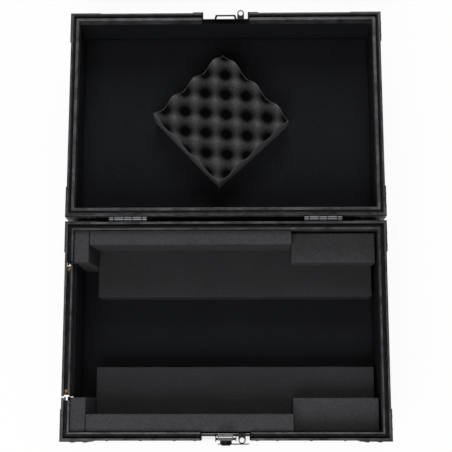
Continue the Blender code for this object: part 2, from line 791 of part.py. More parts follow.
def build_flap(base, surfaces):
    """Add the drop-down flap of the left wall with its rim, lining and hinge."""
    place = (FLAP_AXIS_INSET - HALF_WIDTH, 0.0, -FLAP_DEPTH)
    axis_empty = empty("flap_axis", place, base.parent)
    panel_ends = (FLAP_REAR + END_PLATE_INSET + END_PLATE + SEAT_GAP,
                  FLAP_FRONT - END_PLATE_INSET - END_PLATE - SEAT_GAP)
    span = (-panel_ends[1], -panel_ends[0])
    foot = -FLAP_DEPTH + SEAT_GAP
    panel = slab((PLY_SETBACK - HALF_WIDTH, PLY_INSIDE - HALF_WIDTH), span, (foot, -PLY_TOP))
    add("flap_panel", panel, surfaces["panel"], axis_empty, place)
    lining = slab((LINING_OUTSIDE - HALF_WIDTH, LINING_OUTSIDE + FLAP_LINING - HALF_WIDTH),
                  span, (foot, -SKIRT_END))
    add("flap_lining", lining, surfaces["lining"], axis_empty, place)

    rim = rim_run(groove_profile(), [on_left(-FLAP_REAR), on_left(-FLAP_FRONT)], base)
    plates = []
    notches = []
    for edge, direction, seam in ((-FLAP_REAR, -1, SEAT_GAP), (-FLAP_FRONT, 1, FLAP_FRONT_SEAM)):
        reach = FLAP_SLOT - POST_LIP - seam
        plates.append(rim_lip(edge + direction * END_PLATE, edge - direction * reach))
        start = edge + direction * END_PLATE_INSET
        plates.append(slab((EDGE_SETBACK - HALF_WIDTH, LINING_OUTSIDE - HALF_WIDTH),
                           (start, start + direction * END_PLATE), (foot, -END_PLATE_TOP)))
        inner = start + direction * (END_PLATE + SEAT_GAP)
        notches.append(slab((RIM_LIP + RIM_GAP - HALF_WIDTH, LINING_OUTSIDE + SEAT_GAP - HALF_WIDTH),
                            (inner, inner + direction * FLAP_NOTCH), (-PLY_TOP, CUT_OVERRUN)))
    rim = cut(join(rim, *plates), *notches)
    add("flap_rim", rim, surfaces["rim"], axis_empty, place)

    axis = (FLAP_AXIS_INSET - HALF_WIDTH, -FLAP_DEPTH)
    leaf_x = (PLY_SETBACK - SEAT_GAP - FLAP_LEAF_PLATE - HALF_WIDTH, PLY_SETBACK - SEAT_GAP - HALF_WIDTH)
    away = FLAP_KNUCKLE_RADIUS + SEAT_GAP
    step = (span[1] - span[0]) / FLAP_KNUCKLES
    bore = prism(circle(axis, FLAP_PIN_RADIUS + SEAT_GAP, PIN_SEGMENTS), "Y",
                 span[0] - CUT_OVERRUN, span[1] + CUT_OVERRUN)
    for name, first, sign, height, parent, origin in (
            ("flap_hinge_leaf", 1, 1, FLAP_LEAF_HEIGHT, axis_empty, place),
            ("sill_hinge_leaf", 0, -1, SILL_LEAF_HEIGHT, base.parent, base.origin)):
        edge = -FLAP_DEPTH + sign * away
        leaf = slab(leaf_x, span, (edge, edge + sign * height))
        solids = []
        for index in range(first, FLAP_KNUCKLES, 2):
            start = span[0] + index * step + SEAT_GAP / 2
            end = span[0] + (index + 1) * step - SEAT_GAP / 2
            solids.append(slab(leaf_x, (start, end), (-FLAP_DEPTH, edge + sign * away)))
            knuckle = circle(axis, FLAP_KNUCKLE_RADIUS, PIN_SEGMENTS, math.pi / PIN_SEGMENTS)
            solids.append(prism(knuckle, "Y", start, end))
        add(name, cut(join(leaf, *solids), bore), surfaces["hinge"], parent, origin, smooth=True)
    pin = prism(circle(axis, FLAP_PIN_RADIUS, PIN_SEGMENTS), "Y", *span)
    base.add("flap_hinge_pin", pin, surfaces["pin"], smooth=True)


def depth_outline(points, half):
    """Turn points given as distance in from the front face and depth into Y and Z."""
    return [(inset - CASE_DEPTH, half.level(depth)) for inset, depth in points]


def build_dish(half, surface):
    """Add the recessed latch dish of a half: tray, ramp, flange and padlock eye."""
    if half.name == "base":
        face = PLY_SETBACK - SEAT_GAP
        start = SKIRT_END
        end = BASE_FLANGE_END
    else:
        face = -SEAT_GAP
        start = LID_FLANGE_START
        end = LID_FLANGE_END
    outside = face - DISH_FLANGE
    rise = (RAMP_END - RAMP_START) / (DISH_DEPTH - outside)
    top = SEAT_GAP
    lip = RAMP_END - rise * DISH_FLANGE
    hull = prism(depth_outline([(outside, top), (DISH_BACK, top),
                                (DISH_BACK, RAMP_START + rise * DISH_SHEET),
                                (face, RAMP_END - SEAT_GAP), (outside, RAMP_END - SEAT_GAP)], half),
                 "X", -DISH_HALF, DISH_HALF)
    flange = slab((-DISH_FLANGE_WIDTH / 2, DISH_FLANGE_WIDTH / 2),
                  (outside - CASE_DEPTH, face - CASE_DEPTH), half.levels(start, end))
    front = outside - CUT_OVERRUN
    room = prism(depth_outline([(front, -CUT_OVERRUN), (DISH_DEPTH, -CUT_OVERRUN),
                                (DISH_DEPTH, RAMP_START - DISH_SHEET), (outside, lip - DISH_SHEET),
                                (front, lip - DISH_SHEET)], half),
                 "X", -DISH_WIDTH / 2, DISH_WIDTH / 2)
    dish = cut(join(hull, flange), room)
    dish = join(dish, *dish_fittings(half))
    bolt_hole = prism(circle((EYE_OFFSET, EYE_INSET - CASE_DEPTH), EYE_HOLE / 2), "Z",
                      *half.levels(-CUT_OVERRUN, EYE_SHEET + CUT_OVERRUN))
    holes = [bolt_hole]
    if half.name == "base":
        reach = DISH_WIDTH / 2
        centre = (TILT_INSET - CASE_DEPTH, -TILT_DROP)
        holes.append(prism(circle(centre, TILT_PIN_RADIUS + SEAT_GAP, PIN_SEGMENTS), "X", -reach, reach))
    half.add(half.name + "_latch_dish", cut(dish, *holes), surface)


def dish_fittings(half):
    """Padlock eye of a dish, and on the base the two ears that carry the latch's frame."""
    back = DISH_DEPTH + DISH_SHEET / 2 - CASE_DEPTH
    radius = EYE_WIDTH / 2
    tip = arc((EYE_OFFSET, EYE_INSET - CASE_DEPTH), radius, math.pi, math.tau, ROUND_SEGMENTS // 2 + 1)
    outline = [*tip, (EYE_OFFSET + radius, back), (EYE_OFFSET - radius, back)]
    start = 2 * SEAT_GAP if half.name == "base" else SEAT_GAP * 3 / 2
    fittings = [prism(outline, "Z", *half.levels(start, start + EYE_SHEET))]
    if half.name == "base":
        gap = HOOK_HALF + 2 * SEAT_GAP + FRAME_CHEEK
        for side in (-1, 1):
            ends = (side * (gap + SEAT_GAP), side * (gap + SEAT_GAP + EAR_SHEET))
            fittings.append(slab(ends, (EAR_FRONT - CASE_DEPTH, back), half.levels(EAR_TOP, EAR_END)))
    return fittings


def build_keeper(lid, surface):
    """Add the keeper bridge that the hook catches."""
    back = DISH_DEPTH - SEAT_GAP - CASE_DEPTH
    face = KEEPER_FACE - CASE_DEPTH
    inner = face + KEEPER_BAR
    outline = [
        (-KEEPER_FOOT, back), (-KEEPER_HALF, face), (KEEPER_HALF, face), (KEEPER_FOOT, back),
        (KEEPER_FOOT - KEEPER_LEG, back), (KEEPER_HALF - KEEPER_LEG, inner),
        (KEEPER_LEG - KEEPER_HALF, inner), (KEEPER_LEG - KEEPER_FOOT, back),
    ]
    bridge = prism(outline, "Z", *lid.levels(KEEPER_HEIGHT, KEEPER_HEIGHT + KEEPER_SHEET))
    lid.add("latch_keeper", bridge, surface)


def build_latch(base, surfaces):
    """Add the tilting frame, the hook that slides in it and the wing that drives the hook."""
    tilt_place = (0.0, TILT_INSET - CASE_DEPTH, -TILT_DROP)
    tilt = empty("latch_tilt_axis", tilt_place, base.parent)
    frame = latch_frame()
    add("latch_frame", frame, surfaces["latch"], tilt, tilt_place)
    wing_place = (0.0, -CASE_DEPTH, -WING_DROP)
    turn = empty("latch_wing_axis", Vector(wing_place) - Vector(tilt_place), tilt)
    add("latch_wing", latch_wing(), surfaces["latch"], turn, wing_place, smooth=True)
    slide = empty("latch_hook_axis", Vector(wing_place) - Vector(tilt_place), tilt)
    add("latch_hook", latch_hook(), surfaces["latch"], slide, wing_place)


def latch_frame():
    """Two cheeks, the bridge that bears the wing's axle and the pin on the dish's ears."""
    inner = HOOK_HALF + SEAT_GAP
    outer = inner + FRAME_CHEEK
    bridge_face = HOOK_FACE + HOOK_PLATE + SEAT_GAP
    foot = TILT_DROP + TILT_FOOT
    cheek = [
        (-FRAME_FRONT, FRAME_BRIDGE_TOP), (0.0, FRAME_TOP), (FRAME_BACK, FRAME_TOP),
        (FRAME_BACK, foot), (TILT_INSET - TILT_PIN_RADIUS, foot), (-FRAME_FRONT, FRAME_BRIDGE_END),
    ]
    outline = [(inset - CASE_DEPTH, -depth) for inset, depth in cheek]
    cheeks = [prism(outline, "X", side * inner, side * outer) for side in (-1, 1)]
    bridge = slab((-inner - FRAME_CHEEK / 2, inner + FRAME_CHEEK / 2),
                  (bridge_face - CASE_DEPTH, bridge_face + FRAME_BRIDGE - CASE_DEPTH),
                  (-FRAME_BRIDGE_END, -FRAME_BRIDGE_TOP))
    reach = outer + SEAT_GAP + EAR_SHEET
    pin = prism(circle((TILT_INSET - CASE_DEPTH, -TILT_DROP), TILT_PIN_RADIUS, PIN_SEGMENTS),
                "X", -reach, reach)
    bore = prism(circle((0.0, -WING_DROP), AXLE_RADIUS + SEAT_GAP, PIN_SEGMENTS), "Y",
                 -CASE_DEPTH, TILT_INSET - CASE_DEPTH)
    return cut(join(bridge, *cheeks, pin), bore)


def latch_hook():
    """Hook plate with its lip over the keeper and the window that the eccentric fills."""
    face = HOOK_FACE - CASE_DEPTH
    back = face + HOOK_PLATE
    low = -WING_DROP - HOOK_FOOT
    window_low = -WING_DROP - ECCENTRIC_RADIUS - ECCENTRIC_SLACK - SEAT_GAP
    window_high = -WING_DROP + ECCENTRIC_RADIUS + SEAT_GAP
    shoulder = window_high + HOOK_FOOT / 3
    under = HOOK_UNDER
    outline = [
        (-HOOK_HALF, low), (HOOK_HALF, low), (HOOK_HALF, shoulder), (HOOK_NECK, shoulder + HOOK_FOOT / 3),
        (HOOK_NECK, under + HOOK_LIP), (-HOOK_NECK, under + HOOK_LIP),
        (-HOOK_NECK, shoulder + HOOK_FOOT / 3), (-HOOK_HALF, shoulder),
    ]
    plate = prism(outline, "Y", face, back)
    lip = slab((-HOOK_NECK, HOOK_NECK), (face, HOOK_REACH - CASE_DEPTH), (under, under + HOOK_LIP))
    lip_slot = slab((-HOOK_SLOT_HALF, HOOK_SLOT_HALF),
                    (HOOK_SLOT_START - CASE_DEPTH, HOOK_SLOT_START + HOOK_SLOT - CASE_DEPTH),
                    (under - CUT_OVERRUN, under + HOOK_LIP + CUT_OVERRUN))
    window = slab((-HOOK_RISE - ECCENTRIC_RADIUS - SEAT_GAP, ECCENTRIC_RADIUS + SEAT_GAP),
                  (face - CUT_OVERRUN, back + CUT_OVERRUN), (window_low, window_high))
    return cut(join(plate, lip), lip_slot, window)


def latch_wing():
    """Wing with its hub, the eccentric that moves the hook and the axle in the frame."""
    height = -WING_DROP
    hub_back = HOOK_FACE - SEAT_GAP - CASE_DEPTH
    wing_back = -WING_FACE - CASE_DEPTH
    wing_front = wing_back - WING_SHEET
    plate_back = HOOK_FACE + HOOK_PLATE + SEAT_GAP / 2 - CASE_DEPTH
    overlap = WING_SHEET / 2
    hub = prism(circle((0.0, height), HUB_RADIUS), "Y", wing_back - overlap, hub_back)
    plate = prism(capsule((WING_SHORT_RADIUS - WING_SHORT, height), WING_SHORT_RADIUS,
                          (WING_LONG - WING_LONG_RADIUS, height), WING_LONG_RADIUS),
                  "Y", wing_front, wing_back)
    boss = prism(circle((0.0, height), WING_BOSS_RADIUS), "Y", wing_front - WING_BOSS, wing_front + overlap)
    eccentric = prism(circle((-HOOK_RISE, height), ECCENTRIC_RADIUS), "Y", hub_back - overlap, plate_back)
    axle = prism(circle((0.0, height), AXLE_RADIUS, PIN_SEGMENTS), "Y", hub_back - overlap,
                 plate_back + FRAME_BRIDGE + SEAT_GAP)
    return join(plate, hub, boss, eccentric, axle)


def build_handle(base, surfaces):
    """Add the handle's plate with its ears and the bail that swings in them."""
    middle = -CASE_DEPTH / 2
    seat = HALF_WIDTH - PLY_SETBACK + SEAT_GAP
    top = -HANDLE_DROP + HANDLE_PLATE_TOP
    outline = rounded_rectangle((middle - HANDLE_PLATE_WIDTH / 2, top - HANDLE_PLATE_HEIGHT),
                                (middle + HANDLE_PLATE_WIDTH / 2, top), HANDLE_CORNER)
    plate = prism(outline, "X", seat, seat + HANDLE_PLATE)
    axis_x = seat + HANDLE_PLATE + BAIL_STAND
    ears = []
    bores = []
    for side in (-1, 1):
        start = middle + side * (BAIL_HALF + BAIL_RADIUS + SEAT_GAP)
        end = start + side * BAIL_EAR
        wall = BAIL_RADIUS + SEAT_GAP + BAIL_EAR_WALL
        ring = arc((axis_x, -HANDLE_DROP), wall, -math.pi / 2, math.pi / 2, ROUND_SEGMENTS // 2 + 1)
        back = seat + HANDLE_PLATE / 2
        ears.append(prism([*ring, (back, -HANDLE_DROP + wall), (back, -HANDLE_DROP - wall)],
                          "Y", start, end))
        hole = circle((axis_x, -HANDLE_DROP), BAIL_RADIUS + SEAT_GAP, PIN_SEGMENTS)
        bores.append(prism(hole, "Y", start - side * CUT_OVERRUN, end + side * CUT_OVERRUN))
    base.add("handle_plate", cut(join(plate, *ears), *bores), surfaces["handle"], smooth=True)

    place = (axis_x, middle, -HANDLE_DROP)
    axis = empty("handle_axis", place, base.parent)
    add("handle_bail", bail_shape(), surfaces["handle"], axis, smooth=True)


def bail_shape():
    """Round bar bent into the bail, around its own swing axis."""
    bend = BAIL_BEND
    arms = BAIL_HALF - bend
    path = [(-BAIL_HALF - BAIL_STUB, 0.0), (-BAIL_HALF - BAIL_RADIUS, 0.0)]
    turn = (-BAIL_HALF - BAIL_RADIUS, -BAIL_RADIUS)
    path.extend(arc(turn, BAIL_RADIUS, math.pi / 2, 0.0, BEND_STEPS)[1:])
    path.append((-BAIL_HALF, bend - BAIL_LENGTH))
    path.extend(arc((-arms, bend - BAIL_LENGTH), bend, math.pi, math.pi * 3 / 2, BEND_STEPS)[1:])
    path.extend((-along_bar, height) for along_bar, height in reversed(path))
    rings = []
    for index, (spot, height) in enumerate(path):
        before = path[max(index - 1, 0)]
        after = path[min(index + 1, len(path) - 1)]
        way = Vector((0.0, after[0] - before[0], after[1] - before[1])).normalized()
        side = Vector((1.0, 0.0, 0.0))
        up = way.cross(side)
        ring = []
        for first, second in circle((0.0, 0.0), BAIL_RADIUS, PIN_SEGMENTS):
            ring.append(Vector((0.0, spot, height)) + side * first + up * second)
        rings.append(ring)
    return skin(rings)


def build_feet(base, surface):
    """Add the four rubber feet under the base's edge angles."""
    top = base.level(base.frame_end + SEAT_GAP)
    tip = top - FOOT_HEIGHT
    rings = [(FOOT_RADIUS, top), (FOOT_RADIUS, top - FOOT_HEIGHT / 3),
             (FOOT_TIP_RADIUS, tip + FOOT_ROUND), (FOOT_TIP_RADIUS - FOOT_ROUND, tip)]
    shape = skin([[(*point, height) for point in circle((0.0, 0.0), radius)] for radius, height in rings])
    for side, side_name in ((-1, "left"), (1, "right")):
        for rear, end_name in ((FOOT_END - CASE_DEPTH, "front"), (-FOOT_END, "rear")):
            piece = base.add("foot_" + end_name + "_" + side_name, shape, surface, smooth=True)
            piece.location += Vector((side * (HALF_WIDTH - FOOT_SIDE), rear, 0.0))


def stand_on_origin(root):
    """Move the open case so that its box stands centred on the origin."""
    graph = bpy.context.evaluated_depsgraph_get()
    points = []
    for piece in bpy.data.objects:
        if piece.type == "MESH":
            evaluated = piece.evaluated_get(graph)
            points.extend(evaluated.matrix_world @ point.co for point in evaluated.data.vertices)
    low = [min(point[axis] for point in points) for axis in range(3)]
    high = [max(point[axis] for point in points) for axis in range(3)]
    root.location = (-(low[0] + high[0]) / 2, -(low[1] + high[1]) / 2, -low[2])


def build():
    """Build the whole case."""
    black_metal = (0.035, 0.036, 0.039)
    surfaces = {
        "panel": material("black_laminated_ply", (0.020, 0.020, 0.022), 0.55, 0.0),
        "lining": material("black_lining_foam", (0.012, 0.012, 0.013), 0.9, 0.0),
        "foam": material("grey_foam", (0.050, 0.051, 0.054), 0.95, 0.0),
        "rim": material("black_anodised_rim", black_metal, 0.4, 0.8),
        "edge": material("black_edge_angle", black_metal, 0.45, 0.8),
        "corner": material("black_ball_corner", black_metal, 0.4, 0.8),
        "dish": material("plated_latch_dish", (0.55, 0.56, 0.58), 0.3, 1.0),
        "latch": material("black_latch_steel", (0.06, 0.06, 0.065), 0.35, 1.0),
        "hinge": material("bright_hinge_steel", (0.62, 0.62, 0.62), 0.3, 1.0),
        "pin": material("bright_pin_steel", (0.5, 0.5, 0.5), 0.3, 1.0),
        "handle": material("black_handle_steel", black_metal, 0.4, 0.8),
        "foot": material("black_rubber", (0.02, 0.02, 0.02), 0.85, 0.0),
    }
    root = empty("case_frame", (0.0, 0.0, 0.0), None)
    hinge_place = (0.0, HINGE_OUT, HINGE_UP)
    lid_axis = empty("lid_axis", hinge_place, root)
    base = Half("base", 0.0, -1, root, (0.0, 0.0, 0.0), BASE_LINING, WELL_DEPTH)
    lid = Half("lid", RIM_GAP, 1, lid_axis, hinge_place, LID_LINING, LID_DEPTH)
    for half in (base, lid):
        build_panels(half, surfaces["panel"])
        build_linings(half, surfaces["lining"])
        build_edge_frame(half, surfaces["edge"])
        build_ball_corners(half, surfaces["corner"])
        build_back_hinges(half, surfaces["hinge"], surfaces["pin"])
        build_dish(half, surfaces["dish"])
    build_rims(base, lid, surfaces["rim"])
    build_foam(base, surfaces["foam"])
    build_pad(lid, surfaces["foam"])
    build_flap(base, surfaces)
    build_latch(base, surfaces)
    build_keeper(lid, surfaces["latch"])
    build_handle(base, surfaces)
    build_feet(base, surfaces["foot"])
    lid_axis.rotation_euler = (-OPEN_ANGLE, 0.0, 0.0)
    stand_on_origin(root)


for old in list(bpy.data.objects):
    bpy.data.objects.remove(old)
BALL_SHAPE = ball_corner_shape()
build()
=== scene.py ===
"""Finishes and lights the foam-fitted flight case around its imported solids.

Each step is an operator: cut foam, linings, plywood, rims, edge angles, rivets, hinges, latch,
flap, handle, feet, and the stage with its lamps and camera.
"""

import json
import math

import bmesh
import bpy
from bpy.props import FloatProperty, FloatVectorProperty, IntProperty, PointerProperty
from mathutils import Matrix, Vector, noise

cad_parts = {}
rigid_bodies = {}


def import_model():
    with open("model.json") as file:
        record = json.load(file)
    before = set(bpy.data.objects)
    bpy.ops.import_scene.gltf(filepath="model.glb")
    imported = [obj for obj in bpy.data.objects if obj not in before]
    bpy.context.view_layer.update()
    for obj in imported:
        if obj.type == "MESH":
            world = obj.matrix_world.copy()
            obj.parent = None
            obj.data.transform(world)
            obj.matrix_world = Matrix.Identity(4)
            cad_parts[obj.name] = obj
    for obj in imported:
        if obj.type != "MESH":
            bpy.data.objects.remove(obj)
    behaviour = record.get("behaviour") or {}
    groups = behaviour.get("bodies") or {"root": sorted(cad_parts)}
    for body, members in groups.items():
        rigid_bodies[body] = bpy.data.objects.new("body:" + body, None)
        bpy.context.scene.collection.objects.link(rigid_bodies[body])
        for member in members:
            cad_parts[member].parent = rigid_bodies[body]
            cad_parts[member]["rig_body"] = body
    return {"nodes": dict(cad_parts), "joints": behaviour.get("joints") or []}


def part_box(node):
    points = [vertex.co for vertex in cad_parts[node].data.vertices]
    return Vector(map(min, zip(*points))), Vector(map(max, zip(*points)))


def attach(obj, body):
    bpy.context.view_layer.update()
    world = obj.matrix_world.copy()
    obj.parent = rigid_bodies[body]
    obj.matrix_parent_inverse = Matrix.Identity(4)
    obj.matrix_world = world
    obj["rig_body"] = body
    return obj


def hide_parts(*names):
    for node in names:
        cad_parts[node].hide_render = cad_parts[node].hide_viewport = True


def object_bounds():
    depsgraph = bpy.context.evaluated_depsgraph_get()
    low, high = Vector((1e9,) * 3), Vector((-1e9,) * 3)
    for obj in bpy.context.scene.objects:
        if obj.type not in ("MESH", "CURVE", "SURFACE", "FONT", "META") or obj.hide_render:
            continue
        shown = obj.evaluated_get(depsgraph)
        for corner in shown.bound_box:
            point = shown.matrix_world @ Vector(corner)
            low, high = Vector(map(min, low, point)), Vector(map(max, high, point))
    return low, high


bl_info = {
    "name": "Flight case dressing",
    "version": (1, 0, 0),
    "blender": (4, 5, 0),
    "location": "3D View > Sidebar > Flight case",
    "description": "Finishes, fasteners, cut foam and a studio stage for an open flight case",
    "category": "Object",
}

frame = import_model()
CAD_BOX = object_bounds()

# The case's own frame: X along the front, Y from the front to the hinges, Z up from the base's rim
CASE_WIDTH = 0.530
CASE_DEPTH = 0.3554
HALF_WIDTH = CASE_WIDTH / 2
BASE_END = 0.1376
LID_END = 0.0977
HINGE_OUT = 0.00512
HINGE_UP = 0.00117
JOINTS = {joint["name"]: joint for joint in frame["joints"]}
HINGE_PLACE = Vector(JOINTS["lid_hinge"]["pos_m"])
OPEN_ANGLE = math.radians(JOINTS["lid_hinge"]["range_deg"][1])
BASE_PLACE = Matrix.Translation(HINGE_PLACE - Vector((0.0, HINGE_OUT, HINGE_UP)))
LID_PLACE = (Matrix.Translation(HINGE_PLACE) @ Matrix.Rotation(-OPEN_ANGLE, 4, "X")
             @ Matrix.Translation((0.0, -HINGE_OUT, -HINGE_UP)))
PLACES = {"base": BASE_PLACE, "lid": LID_PLACE}


# Colours and surfaces

def linear(code):
    """Turn an sRGB hex value into linear red, green, blue and alpha."""
    channels = []
    for start in (1, 3, 5):
        value = int(code[start:start + 2], 16) / 255
        channels.append(value / 12.92 if value <= 0.04045 else ((value + 0.055) / 1.055) ** 2.4)
    return (*channels, 1.0)


def add_node(tree, kind, inputs=None, **settings):
    """Add a node; inputs are values or sockets by name or number, settings are its own options."""
    node = tree.nodes.new(kind)
    for name, value in settings.items():
        setattr(node, name, value)
    for name, value in (inputs or {}).items():
        if isinstance(value, bpy.types.NodeSocket):
            tree.links.new(value, node.inputs[name])
        else:
            node.inputs[name].default_value = value
    return node


def surface(name, **shader):
    """Start a material: its tree, its shader with constant inputs, and Object coordinates."""
    made = bpy.data.materials.new(name)
    made.use_nodes = True
    tree = made.node_tree
    tree.nodes.clear()
    bsdf = add_node(tree, "ShaderNodeBsdfPrincipled",
                    {key.replace("_", " "): value for key, value in shader.items()})
    add_node(tree, "ShaderNodeOutputMaterial", {"Surface": bsdf.outputs[0]})
    coords = add_node(tree, "ShaderNodeTexCoord").outputs["Object"]
    return made, tree, bsdf, coords


def blend_colours(tree, factor, first, second):
    """Colour socket that goes from one colour to another."""
    mix = add_node(tree, "ShaderNodeMix", {0: factor, 6: first, 7: second}, data_type="RGBA")
    return mix.outputs[2]


def span(tree, value, low, high, start=0.0, end=1.0):
    """Socket that maps a value from one span to another, held at both ends."""
    return add_node(tree, "ShaderNodeMapRange", {0: value, 1: low, 2: high, 3: start, 4: end}).outputs[0]


def bump(tree, bsdf, height, depth, strength=1.0):
    """Give the shader a bump whose full height is a real depth in metres."""
    made = add_node(tree, "ShaderNodeBump", {"Strength": strength, "Distance": depth, "Height": height})
    tree.links.new(made.outputs[0], bsdf.inputs["Normal"])


def foam_colour(tree, bsdf, coords, dark, light, cell):
    """Colour socket of open-cell foam, whose cells also roughen the surface."""
    cells = add_node(tree, "ShaderNodeTexVoronoi", {"Vector": coords, "Scale": 1 / cell})
    patch = add_node(tree, "ShaderNodeTexNoise", {"Vector": coords, "Scale": 1 / 0.06, "Detail": 2.0})
    grain = add_node(tree, "ShaderNodeTexNoise", {"Vector": coords, "Scale": 1 / cell, "Detail": 3.0})
    shade = add_node(tree, "ShaderNodeMath", {0: grain.outputs[0], 1: 0.85}, operation="MULTIPLY")
    total = add_node(tree, "ShaderNodeMath", {0: patch.outputs[0], 1: 0.15, 2: shade.outputs[0]},
                     operation="MULTIPLY_ADD")
    bump(tree, bsdf, cells.outputs["Distance"], 0.0003, 0.6)
    return blend_colours(tree, span(tree, total.outputs[0], 0.34, 0.66), dark, light)


def cut_foam(name, dark, light):
    """Knife-cut open-cell polyurethane foam: quite matt, with open cells that show as fine grain.

    Real cells are about 0.5 mm; they are drawn coarser here so that their grain shows.
    """
    made, tree, bsdf, coords = surface(name, Roughness=0.95, Specular_IOR_Level=0.08)
    tree.links.new(foam_colour(tree, bsdf, coords, dark, light, 0.0022), bsdf.inputs["Base Color"])
    return made


def convoluted_foam(name, dark, light):
    """Egg-crate polyurethane foam: as the cut foam, with painted shade that darkens its hollows to near black.

    The hollow attribute is 0 on the crests and 1 at the bottom of the hollows; it sets the painted shade. The
    edge attribute is 1 along the upper edge, which takes a paler painted highlight.
    """
    made, tree, bsdf, coords = surface(name, Roughness=0.95, Specular_IOR_Level=0.08)
    colour = foam_colour(tree, bsdf, coords, dark, light, 0.0024)
    # Painted shade: the colour darkens to near black towards the bottom of the hollows.
    hollow = add_node(tree, "ShaderNodeAttribute", attribute_name="hollow")
    depth = span(tree, hollow.outputs["Fac"], 0.0, 0.8)
    sunk = blend_colours(tree, depth, colour, linear("#030304"))
    # Painted highlight: the pad's upper edge is paler.
    edge_highlight = add_node(tree, "ShaderNodeAttribute", attribute_name="edge")
    with_edge_highlight = blend_colours(tree, edge_highlight.outputs["Fac"], sunk, linear("#606062"))
    tree.links.new(with_edge_highlight, bsdf.inputs["Base Color"])
    return made


def lining_sheet(name, dark, light):
    """Thin closed-cell lining sheet with a brushed nap: matt, with a soft felt-like mottle."""
    made, tree, bsdf, coords = surface(name, Roughness=0.95, Specular_IOR_Level=0.06)
    nap = add_node(tree, "ShaderNodeTexNoise", {"Vector": coords, "Scale": 1 / 0.0022, "Detail": 3.0})
    patch = add_node(tree, "ShaderNodeTexNoise", {"Vector": coords, "Scale": 1 / 0.09, "Detail": 2.0})
    total = add_node(tree, "ShaderNodeMath", {0: patch.outputs[0], 1: 0.15, 2: nap.outputs[0]},
                     operation="MULTIPLY_ADD")
    factor = span(tree, total.outputs[0], 0.36, 0.8)
    tree.links.new(blend_colours(tree, factor, dark, light), bsdf.inputs["Base Color"])
    bump(tree, bsdf, nap.outputs[0], 0.0004, 0.4)
    return made


def coated_plywood(name):
    """Plywood faced with black phenolic film: satin, with a faint pebbled press mark."""
    made, tree, bsdf, coords = surface(name, Roughness=0.5)
    pebbles = add_node(tree, "ShaderNodeTexVoronoi", {"Vector": coords, "Scale": 1 / 0.0018},
                       feature="SMOOTH_F1")
    patch = add_node(tree, "ShaderNodeTexNoise", {"Vector": coords, "Scale": 1 / 0.03, "Detail": 4.0})
    colour = blend_colours(tree, patch.outputs[0], linear("#17171a"), linear("#232327"))
    tree.links.new(colour, bsdf.inputs["Base Color"])
    rough = span(tree, patch.outputs[0], 0.3, 0.7, 0.42, 0.58)
    tree.links.new(rough, bsdf.inputs["Roughness"])
    bump(tree, bsdf, pebbles.outputs["Distance"], 0.00015, 0.5)
    return made


def raw_plywood(name):
    """Cut edge of birch plywood: tan veneers about 1.4 mm thick with darker glue lines."""
    made, tree, bsdf, coords = surface(name, Roughness=0.75)
    apart = add_node(tree, "ShaderNodeSeparateXYZ", {0: coords})
    layer = add_node(tree, "ShaderNodeMath", {0: apart.outputs[0], 1: math.tau / 0.0014},
                     operation="MULTIPLY")
    stripes = add_node(tree, "ShaderNodeMath", {0: layer.outputs[0]}, operation="SINE")
    fibre = add_node(tree, "ShaderNodeTexNoise", {"Vector": coords, "Scale": 1 / 0.0012, "Detail": 3.0})
    factor = add_node(tree, "ShaderNodeMath", {0: stripes.outputs[0], 1: 0.3, 2: fibre.outputs[0]},
                      operation="MULTIPLY_ADD")
    colour = blend_colours(tree, factor.outputs[0], linear("#8c6138"), linear("#d9ac74"))
    tree.links.new(colour, bsdf.inputs["Base Color"])
    bump(tree, bsdf, fibre.outputs[0], 0.0002, 0.4)
    return made


def black_anodised(name, dark, light):
    """Black anodised extruded aluminium: satin, with faint die lines and rubbed marks."""
    made, tree, bsdf, coords = surface(name, Metallic=0.35, Specular_IOR_Level=0.6)
    stretched = add_node(tree, "ShaderNodeMapping", {0: coords, 3: (60.0, 60.0, 900.0)})
    lines = add_node(tree, "ShaderNodeTexNoise", {"Vector": stretched.outputs[0], "Scale": 1.0, "Detail": 2.0})
    rubs = add_node(tree, "ShaderNodeTexNoise", {"Vector": coords, "Scale": 1 / 0.02, "Detail": 6.0,
                                                 "Roughness": 0.7})
    factor = span(tree, rubs.outputs[0], 0.34, 0.82)
    colour = blend_colours(tree, factor, linear(dark), linear(light))
    tree.links.new(colour, bsdf.inputs["Base Color"])
    rough = span(tree, rubs.outputs[0], 0.3, 0.7, 0.34, 0.5)
    tree.links.new(rough, bsdf.inputs["Roughness"])
    bump(tree, bsdf, lines.outputs[0], 0.00004, 0.5)
    return made


def painted_shade_black(name):
    """Deep matt black with faint dust, painted as shade in the rims' grooves and ends and at the seams between
    hinge knuckles.
    """
    made, tree, bsdf, coords = surface(name, Roughness=0.6, Specular_IOR_Level=0.12)
    dust = add_node(tree, "ShaderNodeTexNoise", {"Vector": coords, "Scale": 1 / 0.012, "Detail": 5.0})
    colour = blend_colours(tree, span(tree, dust.outputs[0], 0.4, 0.75), linear("#0b0b0c"), linear("#1d1d1f"))
    tree.links.new(colour, bsdf.inputs["Base Color"])
    return made


def rubbed_edge(name):
    """Edge of anodised or coated metal, worn from black back to grey, and lighter on every rounded edge as a
    painted highlight.
    """
    made, tree, bsdf, coords = surface(name, Metallic=0.6)
    wear = add_node(tree, "ShaderNodeTexNoise", {"Vector": coords, "Scale": 1 / 0.008, "Detail": 5.0,
                                                 "Roughness": 0.65})
    factor = span(tree, wear.outputs[0], 0.45, 0.7)
    # Painted highlight together with wear: every rounded edge is lighter than the black face beside it.
    colour = blend_colours(tree, factor, linear("#3c3c3e"), linear("#77777a"))
    tree.links.new(colour, bsdf.inputs["Base Color"])
    rough = span(tree, wear.outputs[0], 0.3, 0.7, 0.45, 0.3)
    tree.links.new(rough, bsdf.inputs["Roughness"])
    return made


